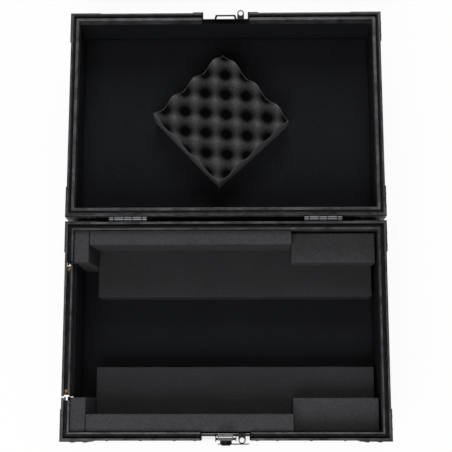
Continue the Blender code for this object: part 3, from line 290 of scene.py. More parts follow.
def powder_coated(name, dark="#1b1b1d", light="#29292c", rough=0.42, gloss=0.5):
    """Pressed steel with black powder coat: satin, with a fine orange peel."""
    made, tree, bsdf, coords = surface(name, Metallic=0.15, Specular_IOR_Level=gloss)
    peel = add_node(tree, "ShaderNodeTexNoise", {"Vector": coords, "Scale": 1 / 0.0016, "Detail": 2.0})
    patch = add_node(tree, "ShaderNodeTexNoise", {"Vector": coords, "Scale": 1 / 0.018, "Detail": 5.0})
    colour = blend_colours(tree, patch.outputs[0], linear(dark), linear(light))
    tree.links.new(colour, bsdf.inputs["Base Color"])
    tree.links.new(span(tree, patch.outputs[0], 0.3, 0.7, rough - 0.07, rough + 0.08),
                   bsdf.inputs["Roughness"])
    bump(tree, bsdf, peel.outputs[0], 0.00006, 0.5)
    return made


def plated_steel(name, dark, light, rough):
    """Bright plated pressed steel: polished metal with faint rubbing and dull patches."""
    made, tree, bsdf, coords = surface(name, Metallic=1.0)
    rubs = add_node(tree, "ShaderNodeTexNoise", {"Vector": coords, "Scale": 1 / 0.006, "Detail": 6.0,
                                                 "Roughness": 0.7})
    colour = blend_colours(tree, rubs.outputs[0], linear(dark), linear(light))
    tree.links.new(colour, bsdf.inputs["Base Color"])
    tree.links.new(span(tree, rubs.outputs[0], 0.3, 0.75, rough * 0.7, rough * 1.5),
                   bsdf.inputs["Roughness"])
    bump(tree, bsdf, rubs.outputs[0], 0.00003, 0.4)
    return made


def moulded_rubber(name, dark="#161617", light="#222224"):
    """Moulded black rubber: matt, with a fine mould grain and dusty patches."""
    made, tree, bsdf, coords = surface(name, Roughness=0.75)
    dust = add_node(tree, "ShaderNodeTexNoise", {"Vector": coords, "Scale": 1 / 0.01, "Detail": 5.0})
    grain = add_node(tree, "ShaderNodeTexNoise", {"Vector": coords, "Scale": 1 / 0.0009, "Detail": 2.0})
    colour = blend_colours(tree, dust.outputs[0], linear(dark), linear(light))
    tree.links.new(colour, bsdf.inputs["Base Color"])
    bump(tree, bsdf, grain.outputs[0], 0.0001, 0.5)
    return made


def finish_of(key):
    """The finish with that key, made once and then shared."""
    made = bpy.data.materials.get(key)
    if made is None:
        finishes = bpy.context.scene.case_finishes
        makers = {
            "cut_foam": lambda: cut_foam(key, finishes.foam_dark, finishes.foam_light),
            "deep_foam_shaded": lambda: cut_foam(key, finishes.deep_shaded_dark, finishes.deep_shaded_light),
            "convoluted_foam": lambda: convoluted_foam(key, finishes.pad_dark, finishes.pad_light),
            "lining_sheet": lambda: lining_sheet(key, finishes.lining_dark, finishes.lining_light),
            "coated_plywood": lambda: coated_plywood(key),
            "raw_plywood": lambda: raw_plywood(key),
            "anodised_rim": lambda: black_anodised(key, "#29292b", "#666669"),
            "unworn_groove": lambda: painted_shade_black(key),
            "hinge_seam": lambda: painted_shade_black(key),
            "anodised_angle": lambda: black_anodised(key, "#262628", "#39393b"),
            "rubbed_edge": lambda: rubbed_edge(key),
            "coated_corner": lambda: powder_coated(key),
            "coated_latch": lambda: powder_coated(key, "#131315", "#1f1f21", 0.5, 0.22),
            "satin_hook": lambda: plated_steel(key, "#58585a", "#7a7a7c", 0.4),
            "black_rivet": lambda: powder_coated(key, "#1c1c1e", "#2c2c2e", 0.42),
            "plated_dish": lambda: plated_steel(key, "#e2e3e6", "#f8f8f9", 0.12),
            "zinc_hinge": lambda: plated_steel(key, "#434446", "#626365", 0.36),
            "moulded_rubber": lambda: moulded_rubber(key),
            "grip_sleeve": lambda: moulded_rubber(key, "#1c1c1d", "#2a2a2c"),
        }
        made = makers[key]()
    return made


# Meshes

def place_of(half, point):
    """Point of the closed case in the row's frame, as a half of the case holds it."""
    return PLACES[half] @ Vector(point)


def add_piece(name, mesh, body, slot, *keys):
    """Add a finished piece at the origin that rides on a body, with its finishes."""
    mesh.name = name
    if mesh.materials:
        mesh.materials.clear()
    for key in keys:
        mesh.materials.append(finish_of(key))
    piece = bpy.data.objects.new(name, mesh)
    bpy.context.scene.collection.objects.link(piece)
    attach(piece, body)
    return piece


def body_of_node(node):
    """Name of the body that a CAD node rides on."""
    return frame["nodes"][node]["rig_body"]


def merged_copy(node):
    """Edited copy of a CAD node with its corners merged and its flat faces whole."""
    graph = bmesh.new()
    graph.from_mesh(frame["nodes"][node].data)
    bmesh.ops.remove_doubles(graph, verts=graph.verts, dist=0.00002)
    bmesh.ops.dissolve_limit(graph, angle_limit=math.radians(1.0), verts=graph.verts, edges=graph.edges)
    return graph


def mesh_from(graph, smooth_angle=None):
    """Turn an edited mesh into a mesh, shaded smooth below an angle."""
    mesh = bpy.data.meshes.new("piece")
    graph.to_mesh(mesh)
    graph.free()
    if smooth_angle is not None:
        mesh.shade_smooth()
        mesh.set_sharp_from_angle(angle=math.radians(smooth_angle))
    return mesh


def sharp_edges(graph, angle):
    """Edges between two faces that meet at more than an angle."""
    found = []
    for edge in graph.edges:
        if len(edge.link_faces) == 2 and edge.calc_face_angle(0.0) > math.radians(angle):
            found.append(edge)
    return found


def round_off(graph, width, segments=2, angle=25.0):
    """Round the sharp edges; the narrow faces that this makes take the second finish."""
    made = bmesh.ops.bevel(graph, geom=sharp_edges(graph, angle), offset=width, segments=segments,
                           profile=0.5, affect="EDGES", clamp_overlap=True)
    for face in made["faces"]:
        face.material_index = 1


def slice_up(graph, cell):
    """Cut every face on a grid of planes, so that a large flat face can be shaped."""
    points = [vert.co for vert in graph.verts]
    for axis in range(3):
        low = min(point[axis] for point in points)
        high = max(point[axis] for point in points)
        count = max(1, round((high - low) / cell))
        for step in range(1, count):
            place = Vector((0.0, 0.0, 0.0))
            place[axis] = low + (high - low) * step / count
            way = Vector((0.0, 0.0, 0.0))
            way[axis] = 1.0
            geometry = [*graph.verts, *graph.edges, *graph.faces]
            bmesh.ops.bisect_plane(graph, geom=geometry, dist=0.00001, plane_co=place, plane_no=way)


def sink_by_noise(graph, depth, size, seed):
    """Sink the faces inwards by soft hollows of a real size."""
    graph.normal_update()
    shift = Vector((seed * 3.1, seed * 7.7, seed * 1.3))
    moves = []
    for vert in graph.verts:
        broad = noise.noise(vert.co / size + shift)
        fine = noise.noise(vert.co / (size * 0.22) + shift)
        share = min(1.0, max(0.0, 0.5 + 0.75 * broad + 0.3 * fine))
        moves.append(-vert.normal * depth * share)
    for vert, move in zip(graph.verts, moves):
        vert.co += move


def cut_across(graph, half, places, axis=0):
    """Cut every face of a piece where it crosses these places along an axis of the closed case."""
    unit = Vector((0.0, 0.0, 0.0))
    unit[axis] = 1.0
    way = PLACES[half].to_3x3() @ unit
    for place in places:
        geometry = [*graph.verts, *graph.edges, *graph.faces]
        bmesh.ops.bisect_plane(graph, geom=geometry, dist=0.00001, plane_no=way,
                               plane_co=place_of(half, unit * place))


def faces_in_half(graph, half):
    """Each face with its middle, facing and corners in the frame of the closed case."""
    back = PLACES[half].inverted()
    turn = back.to_3x3()
    graph.normal_update()
    for face in graph.faces:
        corners = [back @ vert.co for vert in face.verts]
        yield face, sum(corners, Vector()) / len(corners), turn @ face.normal, corners


def dress_node(node, slot, keys, width=0.0, segments=2, paint=None):
    """Replace a CAD node by its copy with rounded edges and finishes."""
    graph = merged_copy(node)
    if width > 0.0:
        round_off(graph, width, segments)
    if paint:
        paint(graph)
    mesh = mesh_from(graph)
    piece = add_piece(node + "_finished", mesh, body_of_node(node), slot, *keys)
    mesh.shade_smooth()
    mesh.set_sharp_from_angle(angle=math.radians(40.0))
    weigh_normals(piece)
    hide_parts(node)
    return piece


def weigh_normals(piece):
    """Shade each corner of a piece by its larger faces, so that flat faces stay flat."""
    step = piece.modifiers.new("flat faces", "WEIGHTED_NORMAL")
    step.keep_sharp = True
    step.weight = 100


def repaint(node, key):
    """Give a CAD node that keeps its shape its finish."""
    piece = frame["nodes"][node]
    piece.data.materials.clear()
    piece.data.materials.append(finish_of(key))


# Node trees that make what repeats

def new_tree(name, numbers):
    """Start a geometry tree with named number inputs, a geometry input and a finish input."""
    tree = bpy.data.node_groups.new(name, "GeometryNodeTree")
    face = tree.interface
    face.new_socket("Geometry", in_out="INPUT", socket_type="NodeSocketGeometry")
    for label, value in numbers:
        kind = "NodeSocketInt" if isinstance(value, int) else "NodeSocketFloat"
        socket = face.new_socket(label, in_out="INPUT", socket_type=kind)
        socket.default_value = value
    face.new_socket("Finish", in_out="INPUT", socket_type="NodeSocketMaterial")
    face.new_socket("Geometry", in_out="OUTPUT", socket_type="NodeSocketGeometry")
    start = tree.nodes.new("NodeGroupInput")
    return tree, start.outputs


def close_tree(tree, start, geometry):
    """End a tree in real geometry with its finish."""
    real = add_node(tree, "GeometryNodeRealizeInstances", {0: geometry})
    painted = add_node(tree, "GeometryNodeSetMaterial", {"Geometry": real.outputs[0],
                                                         "Material": start["Finish"]})
    end = tree.nodes.new("NodeGroupOutput")
    tree.links.new(painted.outputs[0], end.inputs[0])


def run_tree(tree, mesh, values, key):
    """Run a tree on a mesh with named values, and give back the plain mesh that it makes."""
    holder = bpy.data.objects.new("holder", mesh)
    bpy.context.scene.collection.objects.link(holder)
    step = holder.modifiers.new("tree", "NODES")
    step.node_group = tree
    sockets = {item.name: item.identifier for item in tree.interface.items_tree
               if item.item_type == "SOCKET" and item.in_out == "INPUT"}
    for label, value in values.items():
        step[sockets[label]] = value
    step[sockets["Finish"]] = finish_of(key)
    graph = bpy.context.evaluated_depsgraph_get()
    made = bpy.data.meshes.new_from_object(holder.evaluated_get(graph))
    bpy.data.objects.remove(holder)
    return made


def rivet_tree():
    """Tree that sets a domed rivet head on every point, along the point's facing."""
    tree = bpy.data.node_groups.get("rivet_heads")
    if tree:
        return tree
    tree, start = new_tree("rivet_heads", [("Radius", 0.003), ("Height", 0.0011), ("Sides", 14)])
    ball = add_node(tree, "GeometryNodeMeshUVSphere", {"Segments": start["Sides"], "Rings": 8,
                                                       "Radius": start["Radius"]})
    place = add_node(tree, "GeometryNodeInputPosition")
    apart = add_node(tree, "ShaderNodeSeparateXYZ", {0: place.outputs[0]})
    share = add_node(tree, "ShaderNodeMath", {0: start["Height"], 1: start["Radius"]}, operation="DIVIDE")
    upper = add_node(tree, "ShaderNodeMath", {0: apart.outputs[2], 1: 0.0}, operation="MAXIMUM")
    height = add_node(tree, "ShaderNodeMath", {0: upper.outputs[0], 1: share.outputs[0]},
                      operation="MULTIPLY")
    lower = add_node(tree, "ShaderNodeMath", {0: apart.outputs[2], 1: 0.0}, operation="MINIMUM")
    sunk = add_node(tree, "ShaderNodeMath", {0: lower.outputs[0], 1: 0.15, 2: height.outputs[0]},
                    operation="MULTIPLY_ADD")
    spot = add_node(tree, "ShaderNodeCombineXYZ", {0: apart.outputs[0], 1: apart.outputs[1],
                                                   2: sunk.outputs[0]})
    head = add_node(tree, "GeometryNodeSetPosition", {"Geometry": ball.outputs[0], "Position": spot.outputs[0]})
    smooth = add_node(tree, "GeometryNodeSetShadeSmooth", {"Geometry": head.outputs[0]})
    facing = add_node(tree, "GeometryNodeInputNamedAttribute", {"Name": "facing"}, data_type="FLOAT_VECTOR")
    turn = add_node(tree, "FunctionNodeAlignRotationToVector", {"Vector": facing.outputs[0]}, axis="Z")
    heads = add_node(tree, "GeometryNodeInstanceOnPoints", {"Points": start["Geometry"],
                                                            "Instance": smooth.outputs[0],
                                                            "Rotation": turn.outputs[0]})
    close_tree(tree, start, heads.outputs[0])
    return tree


def add_rivets(name, body, slot, key, spots, radius, height):
    """Add rivet heads on spots given as point and facing in the row's frame."""
    points = bpy.data.meshes.new("points")
    points.from_pydata([spot for spot, _ in spots], [], [])
    facing = points.attributes.new("facing", "FLOAT_VECTOR", "POINT")
    facing.data.foreach_set("vector", [value for _, way in spots for value in way])
    made = run_tree(rivet_tree(), points, {"Radius": radius, "Height": height}, key)
    return add_piece(name, made, body, slot, key)


def in_half(half, spots):
    """Turn spots of the closed case into spots in the row's frame."""
    turn = PLACES[half].to_3x3()
    return [(place_of(half, point), turn @ Vector(way)) for point, way in spots]


def on_faces(half, face, spots, inset=0.0):
    """Turn flat places on an outer face of a half into spots; each is a distance along and a depth."""
    sign = -1 if half == "base" else 1
    found = []
    for along, depth in spots:
        height = sign * depth
        if face == "front":
            found.append(((along, inset - CASE_DEPTH, height), (0.0, -1.0, 0.0)))
        elif face == "rear":
            found.append(((along, -inset, height), (0.0, 1.0, 0.0)))
        elif face == "left":
            found.append(((inset - HALF_WIDTH, -along, height), (-1.0, 0.0, 0.0)))
        elif face == "right":
            found.append(((HALF_WIDTH - inset, -along, height), (1.0, 0.0, 0.0)))
    return in_half(half, found)


# Properties

def colour_value(label, about, code):
    """Colour property with a default."""
    return FloatVectorProperty(name=label, description=about, subtype="COLOR", size=4, min=0.0, max=1.0,
                               default=linear(code))


def length_value(label, about, size):
    """Length property with a default in metres."""
    return FloatProperty(name=label, description=about, subtype="DISTANCE", unit="LENGTH", default=size)


class CaseFinishes(bpy.types.PropertyGroup):
    """Colours of the case's foam and lining."""

    foam_dark: colour_value("Cut foam, dark", "Darker tone of the knife-cut foam", "#363638")
    foam_light: colour_value("Cut foam, light", "Lighter tone of the knife-cut foam", "#444446")
    # The deep strips are the cut foam in darker tones: painted shade for how deep they lie in the well.
    deep_shaded_dark: colour_value("Deep strips, dark", "Darker tone of the two deep foam strips", "#28282a")
    deep_shaded_light: colour_value("Deep strips, light", "Lighter tone of the two deep foam strips", "#363638")
    pad_dark: colour_value("Pad, dark", "Darker tone of the egg-crate pad", "#3b3b3d")
    pad_light: colour_value("Pad, light", "Lighter tone of the egg-crate pad", "#5c5c5e")
    lining_dark: colour_value("Lining, dark", "Darker tone of the lining sheet", "#131416")
    lining_light: colour_value("Lining, light", "Lighter tone of the lining sheet", "#1f2022")


class CaseSizes(bpy.types.PropertyGroup):
    """Sizes of the details that the finished pieces add to the solids."""

    foam_cell: length_value("Foam facets", "Spacing of the points on a foam face", 0.006)
    foam_hollow: length_value("Foam unevenness", "Deepest hollow in a cut foam face", 0.0007)
    lining_hollow: length_value("Lining unevenness", "Deepest hollow in a lining sheet", 0.0003)
    rim_edge: length_value("Rim edge", "Rounding of the rim's edges", 0.0003)
    plate_edge: length_value("Plate edge", "Rounding of the pressed plates' edges", 0.0004)
    rivet_radius: length_value("Rivet head radius", "Radius of the pop rivets' heads", 0.0032)
    rivet_height: length_value("Rivet head height", "Height of the pop rivets' heads", 0.0012)
    pad_points: IntProperty(name="Pad points", description="Points along one side of the egg-crate pad",
                            default=150)


class CaseStage(bpy.types.PropertyGroup):
    """Levels of the studio stage."""

    sky_level: FloatProperty(name="Surround level", description="Light from all around", default=0.22)
    ceiling_level: FloatProperty(name="Ceiling level", description="What gloss shows straight above",
                                 default=0.1)
    lamp_power: FloatProperty(name="Softbox power", description="Power of each of the two softboxes",
                              subtype="POWER", unit="POWER", default=40.0)


# Foam and lining

FOAM_BLOCKS = (
    "foam_wide_rear", "foam_wide_front", "foam_narrow_rear", "foam_narrow_front",
    "foam_right_rear", "foam_right_front", "foam_left_rear", "foam_left_front",
)
LININGS = ("base_wall_lining", "base_panel_lining", "lid_wall_lining", "lid_panel_lining", "flap_lining")
FLAP_LAPS = (0.004, 0.0065)
END_REACH = 0.001
LINING_EDGE = 0.0005
LINING_CELL = 0.009
PAD_SIDE = 0.1645
PAD_TURN = math.radians(46.84)
PAD_MIDDLE = (-0.0082, -0.1807, 0.0856)
PAD_WAVE = 0.0120
PAD_MEAN = 0.0464
PAD_PITCH_ACROSS = 0.0533
PAD_PITCH_ALONG = 0.04764
PAD_SHIFT_ACROSS = -0.0010
PAD_SHIFT_ALONG = 0.0370


class FLIGHTCASE_OT_foam_blocks(bpy.types.Operator):
    """Cut the foam blocks of the base, with soft and slightly uneven faces"""

    bl_idname = "flight_case.foam_blocks"
    bl_label = "Foam blocks"

    def execute(self, context):
        sizes = context.scene.case_sizes
        for seed, node in enumerate(FOAM_BLOCKS):
            graph = merged_copy(node)
            slice_up(graph, sizes.foam_cell)
            sink_by_noise(graph, sizes.foam_hollow, 0.05, seed)
            # The two deep strips take the darker copy of the cut foam, which is painted shade.
            key = "deep_foam_shaded" if "wide" in node else "cut_foam"
            piece = add_piece(node + "_cut", mesh_from(graph, 60.0), "base", "foam", key)
            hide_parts(node)
        return {"FINISHED"}


def lap_over(graph, front, rear):
    """Lengthen a sheet at its front and rear ends, so that it laps over the gaps beside it."""
    low = min(vert.co.y for vert in graph.verts)
    high = max(vert.co.y for vert in graph.verts)
    for vert in graph.verts:
        if vert.co.y < low + END_REACH:
            vert.co.y -= front
        elif vert.co.y > high - END_REACH:
            vert.co.y += rear


class FLIGHTCASE_OT_linings(bpy.types.Operator):
    """Lay the thin lining sheets on the floor, the walls, the lid and the flap"""

    bl_idname = "flight_case.linings"
    bl_label = "Lining sheets"

    def execute(self, context):
        sizes = context.scene.case_sizes
        for seed, node in enumerate(LININGS):
            graph = merged_copy(node)
            if node == "flap_lining":
                lap_over(graph, *FLAP_LAPS)
            round_off(graph, LINING_EDGE)
            for face in graph.faces:
                face.material_index = 0
            slice_up(graph, LINING_CELL)
            sink_by_noise(graph, sizes.lining_hollow, 0.04, seed + 20)
            piece = add_piece(node + "_sheet", mesh_from(graph, 60.0), body_of_node(node), "lining",
                              "lining_sheet")
            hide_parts(node)
        return {"FINISHED"}


def pad_tree():
    """Tree that makes the egg-crate pad: a flat foot, cut sides and a top of crossed waves."""
    tree, start = new_tree("egg_crate", [("Side", 0.16), ("Points", 100), ("Mean Height", 0.037),
                                         ("Wave Height", 0.013), ("Pitch Across", 0.05),
                                         ("Pitch Along", 0.05), ("Shift Across", 0.0),
                                         ("Shift Along", 0.0), ("Ragged", 0.0004), ("Seed", 0.0)])
    flat = add_node(tree, "GeometryNodeMeshGrid", {0: start["Side"], 1: start["Side"],
                                                   2: start["Points"], 3: start["Points"]})
    block = add_node(tree, "GeometryNodeExtrudeMesh", {"Mesh": flat.outputs[0], "Offset": (0.0, 0.0, 1.0),
                                                       "Offset Scale": 0.001, "Individual": False})
    place = add_node(tree, "GeometryNodeInputPosition").outputs[0]
    apart = add_node(tree, "ShaderNodeSeparateXYZ", {0: place})
    waves = []
    for axis, way in enumerate(("Across", "Along")):
        moved = add_node(tree, "ShaderNodeMath", {0: apart.outputs[axis], 1: start["Shift " + way]},
                         operation="ADD")
        share = add_node(tree, "ShaderNodeMath", {0: moved.outputs[0], 1: start["Pitch " + way]},
                         operation="DIVIDE")
        angle = add_node(tree, "ShaderNodeMath", {0: share.outputs[0], 1: math.tau}, operation="MULTIPLY")
        waves.append(add_node(tree, "ShaderNodeMath", {0: angle.outputs[0]}, operation="COSINE").outputs[0])
    crest = add_node(tree, "ShaderNodeMath", {0: waves[0], 1: waves[1]}, operation="MULTIPLY")
    swing = add_node(tree, "ShaderNodeMath", {0: crest.outputs[0], 1: start["Wave Height"]},
                     operation="MULTIPLY")
    level = add_node(tree, "ShaderNodeMath", {0: start["Mean Height"], 1: swing.outputs[0]},
                     operation="SUBTRACT")
    wobble = add_node(tree, "ShaderNodeTexNoise", {"Vector": place, "W": start["Seed"],
                                                   "Scale": 1 / 0.012, "Detail": 3.0},
                      noise_dimensions="4D")
    centred = add_node(tree, "ShaderNodeVectorMath", {0: wobble.outputs["Color"], 1: (0.5, 0.5, 0.5)},
                       operation="SUBTRACT")
    offset = add_node(tree, "ShaderNodeVectorMath", {0: centred.outputs[0], 3: start["Ragged"]},
                      operation="SCALE")
    spot = add_node(tree, "ShaderNodeCombineXYZ", {0: apart.outputs[0], 1: apart.outputs[1],
                                                   2: level.outputs[0]})
    raised = add_node(tree, "GeometryNodeSetPosition", {"Geometry": block.outputs["Mesh"],
                                                        "Selection": block.outputs["Top"],
                                                        "Position": spot.outputs[0],
                                                        "Offset": offset.outputs[0]})
    foot = add_node(tree, "GeometryNodeFlipFaces", {0: flat.outputs[0]})
    both = add_node(tree, "GeometryNodeJoinGeometry")
    tree.links.new(foot.outputs[0], both.inputs[0])
    tree.links.new(raised.outputs[0], both.inputs[0])
    closed = add_node(tree, "GeometryNodeMergeByDistance", {0: both.outputs[0], "Distance": 0.00001})
    hollow = add_node(tree, "ShaderNodeMath", {0: crest.outputs[0], 1: 0.5, 2: 0.5}, operation="MULTIPLY_ADD")
    above_foot = add_node(tree, "ShaderNodeMath", {0: apart.outputs[2], 1: 0.001}, operation="GREATER_THAN")
    sunk = add_node(tree, "ShaderNodeMath", {0: hollow.outputs[0], 1: above_foot.outputs[0]},
                    operation="MULTIPLY")
    reach = [add_node(tree, "ShaderNodeMath", {0: apart.outputs[axis]}, operation="ABSOLUTE").outputs[0]
             for axis in (0, 1)]
    far = add_node(tree, "ShaderNodeMath", {0: reach[0], 1: reach[1]}, operation="MAXIMUM")
    half = add_node(tree, "ShaderNodeMath", {0: start["Side"], 1: 0.4975}, operation="MULTIPLY")
    border = add_node(tree, "ShaderNodeMath", {0: far.outputs[0], 1: half.outputs[0]},
                      operation="GREATER_THAN")
    edge = add_node(tree, "ShaderNodeMath", {0: border.outputs[0], 1: above_foot.outputs[0]},
                    operation="MULTIPLY")
    # The hollow attribute carries the painted shade of the hollows; the edge attribute carries the painted
    # highlight on the upper edge.
    kept = add_node(tree, "GeometryNodeStoreNamedAttribute", {"Geometry": closed.outputs[0], "Name": "hollow",
                                                              "Value": sunk.outputs[0]})
    lined = add_node(tree, "GeometryNodeStoreNamedAttribute", {"Geometry": kept.outputs[0], "Name": "edge",
                                                               "Value": edge.outputs[0]})
    close_tree(tree, start, lined.outputs[0])
    return tree


class FLIGHTCASE_OT_egg_crate_pad(bpy.types.Operator):
    """Make the egg-crate foam pad that lies turned in the lid"""

    bl_idname = "flight_case.egg_crate_pad"
    bl_label = "Egg-crate pad"

    def execute(self, context):
        points = context.scene.case_sizes.pad_points
        mesh = run_tree(pad_tree(), bpy.data.meshes.new("start"), {
            "Side": PAD_SIDE, "Points": points, "Mean Height": PAD_MEAN, "Wave Height": PAD_WAVE,
            "Pitch Across": PAD_PITCH_ACROSS, "Pitch Along": PAD_PITCH_ALONG,
            "Shift Across": PAD_SHIFT_ACROSS, "Shift Along": PAD_SHIFT_ALONG,
            "Ragged": 0.0006, "Seed": 3.0}, "convoluted_foam")
        cosine, sine = math.cos(PAD_TURN), math.sin(PAD_TURN)
        turn = Matrix(((cosine, sine, 0.0, 0.0), (sine, -cosine, 0.0, 0.0), (0.0, 0.0, -1.0, 0.0),
                       (0.0, 0.0, 0.0, 1.0)))
        mesh.transform(LID_PLACE @ Matrix.Translation(PAD_MIDDLE) @ turn)
        mesh.shade_smooth()
        mesh.set_sharp_from_angle(angle=math.radians(50.0))
        piece = add_piece("egg_crate_pad", mesh, "lid", "foam", "convoluted_foam")
        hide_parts("foam_egg_crate_pad")
        return {"FINISHED"}


# Plywood, rims and edge angles

PLYWOOD = (
    "base_panel", "base_front_wall", "base_rear_wall", "base_left_wall", "base_right_wall", "flap_panel",
    "lid_panel", "lid_front_wall", "lid_rear_wall", "lid_left_wall", "lid_right_wall",
)
RIMS = ("base_rim_rear_run", "base_rim_front_run", "lid_rim", "flap_rim")
RIM_LIP = 0.0036
RIM_INNER_LIP = 0.0104
RIM_WIDTH = 0.0135
DISH_END = 0.0386
DARK_END = 0.0026


class FLIGHTCASE_OT_plywood(bpy.types.Operator):
    """Face the plywood panels with black film; cut edges are raw but for the painted cut-out wall"""

    bl_idname = "flight_case.plywood"
    bl_label = "Plywood panels"

    def execute(self, context):
        for node in PLYWOOD:
            graph = merged_copy(node)
            low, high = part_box(node)
            size = high - low
            thin = min(range(3), key=lambda axis: size[axis])
            graph.normal_update()
            painted = node == "base_left_wall"
            for face in graph.faces:
                face.material_index = 0 if painted or abs(face.normal[thin]) > 0.5 else 1
            piece = add_piece(node + "_faced", mesh_from(graph), body_of_node(node), "panel",
                              "coated_plywood", "raw_plywood")
            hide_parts(node)
        return {"FINISHED"}


# Plugs in the rim's ends beside the flap, as low and high corners in the closed case's frame; they are deep
# black painted shade
RIM_PLUGS = (
    ((-0.2546, -0.2916, -0.0175), (-0.2520, -0.2857, -0.0006)),
    ((-0.2612, -0.2916, -0.0105), (-0.2592, -0.2862, -0.0056)),
    ((-0.2612, -0.0675, -0.0105), (-0.2548, -0.0647, -0.0056)),
    ((-0.2612, -0.0716, -0.0105), (-0.2592, -0.0675, -0.0056)),
    ((-0.2545, -0.0732, -0.0105), (-0.2520, -0.0694, -0.0012)),
)


def block_mesh(half, blocks):
    """Mesh of square blocks from their low and high corners."""
    graph = bmesh.new()
    for low, high in blocks:
        low, high = Vector(low), Vector(high)
        size = Matrix.Diagonal((*(high - low), 1.0))
        place = PLACES[half] @ Matrix.Translation((low + high) / 2) @ size
        bmesh.ops.create_cube(graph, size=1.0, matrix=place)
    return mesh_from(graph)


def paint_rim(half):
    """Give the way to paint a rim: deep black painted shade in its grooves and on its ends at latch and flap.
    """
    def paint(graph):
        reach = DISH_END + DARK_END
        cut_across(graph, half, (-reach, reach))
        for face, middle, way, corners in faces_in_half(graph, half):
            insets = [min(HALF_WIDTH - abs(spot.x), -spot.y, CASE_DEPTH + spot.y) for spot in corners]
            depth = max(abs(spot.z) for spot in corners)
            sunk = min(insets) > RIM_LIP - 0.0002 and max(insets) < RIM_INNER_LIP and depth > 0.0006
            at_latch = abs(middle.x) < reach and middle.y < -CASE_DEPTH / 2
            at_slot = half == "base" and middle.x < RIM_WIDTH - HALF_WIDTH and abs(way.y) > 0.9
            # Painted shade: the grooves, the rim beside the latch dish and the flap slot's end faces take the
            # deep black.
            if sunk or at_latch or (at_slot and middle.z < -0.001):
                face.material_index = 2
    return paint


class FLIGHTCASE_OT_rims(bpy.types.Operator):
    """Round the edges of the aluminium rims and give them their anodised finish"""

    bl_idname = "flight_case.rims"
    bl_label = "Rims"

    def execute(self, context):
        keys = ("anodised_rim", "rubbed_edge", "unworn_groove")
        for node in RIMS:
            half = "lid" if node == "lid_rim" else "base"
            dress_node(node, "rim", keys, context.scene.case_sizes.rim_edge, paint=paint_rim(half))
        add_piece("rim_end_plugs", block_mesh("base", RIM_PLUGS), "base", "rim", "unworn_groove")
        return {"FINISHED"}


class FLIGHTCASE_OT_edge_angles(bpy.types.Operator):
    """Round and finish the edge angles with their braces, and the ball corners"""

    bl_idname = "flight_case.edge_angles"
    bl_label = "Edge angles and ball corners"

    def execute(self, context):
        edge = context.scene.case_sizes.plate_edge
        for half in ("base", "lid"):
            dress_node(half + "_edge_frame", "edge", ("anodised_angle", "rubbed_edge"), edge)
            for end in ("front", "rear"):
                for side in ("left", "right"):
                    node = "_".join((half, "ball_corner", end, side))
                    dress_node(node, "corner", ("coated_corner", "coated_corner"), 2 * edge, 3)
        return {"FINISHED"}


# Fasteners

BRACE_FACE = -0.0018
BRACE_LOW = 0.042
BRACE_END = 0.040
BRACE_ROWS = (0.013, 0.0325)
BRACE_COLUMNS = (0.017, 0.038)
ANGLE_FACE = 0.0005
ANGLE_INSET = 0.011
ANGLE_SPACING = 0.0667
SKIRT_LINE = 0.0135
FRONT_START = 0.083
FRONT_SPACING = 0.0545
REAR_SPACING = 0.08
SIDE_SPACING = 0.075
BALL_FACE = -0.0013
BALL_SEAT = 0.0002
BALL_SPOTS = (0.0085, 0.0295)
BALL_DROP = 0.0003
BALL_UNDER = 0.0018
BIG_RIVET = 0.0046
BIG_RIVET_HEIGHT = 0.0017


def brace_rivets(half):
    """Spots of the rivets on the braces at the four upright corners of a half."""
    spots = []
    for depth in BRACE_ROWS:
        for near in BRACE_COLUMNS:
            for side in (-1, 1):
                across = [(side * (HALF_WIDTH - near), depth)]
                spots += on_faces(half, "front", across, BRACE_FACE)
                spots += on_faces(half, "rear", across, BRACE_FACE)
            for along in (near, CASE_DEPTH - near):
                spots += on_faces(half, "left", [(along, depth)], BRACE_FACE)
                spots += on_faces(half, "right", [(along, depth)], BRACE_FACE)
    return spots


def angle_rivets(half, end):
    """Spots of the rivets along the edge angles and the rim's skirt of a half."""
    spots = []
    low = end - ANGLE_INSET
    across = [(step * ANGLE_SPACING, low) for step in range(-3, 4)]
    along = [(CASE_DEPTH / 2 + step * ANGLE_SPACING, low) for step in range(-1, 2)]
    for face in ("front", "rear"):
        spots += on_faces(half, face, across, ANGLE_FACE)
    for face in ("left", "right"):
        spots += on_faces(half, face, along, ANGLE_FACE)
    reach = 3 if half == "base" else 2
    front_row = [(side * (FRONT_START + step * FRONT_SPACING), SKIRT_LINE)
                 for side in (-1, 1) for step in range(reach)]
    spots += on_faces(half, "front", front_row)
    rear_row = [(step * REAR_SPACING, SKIRT_LINE) for step in (-1, 0, 1)]
    spots += on_faces(half, "rear", rear_row)
    side_row = [(CASE_DEPTH / 2 + step * SIDE_SPACING, SKIRT_LINE) for step in (-1, 0, 1)]
    spots += on_faces(half, "right", side_row)
    if half == "lid":
        spots += on_faces(half, "left", side_row)
    middle = (BRACE_LOW + end - BRACE_END) / 2
    if half == "base":
        for side in (-1, 1):
            upright = [(side * (HALF_WIDTH - ANGLE_INSET), middle)]
            spots += on_faces(half, "front", upright, ANGLE_FACE)
            spots += on_faces(half, "rear", upright, ANGLE_FACE)
        for face in ("left", "right"):
            upright = [(ANGLE_INSET, middle), (CASE_DEPTH - ANGLE_INSET, middle)]
            spots += on_faces(half, face, upright, ANGLE_FACE)
    return spots


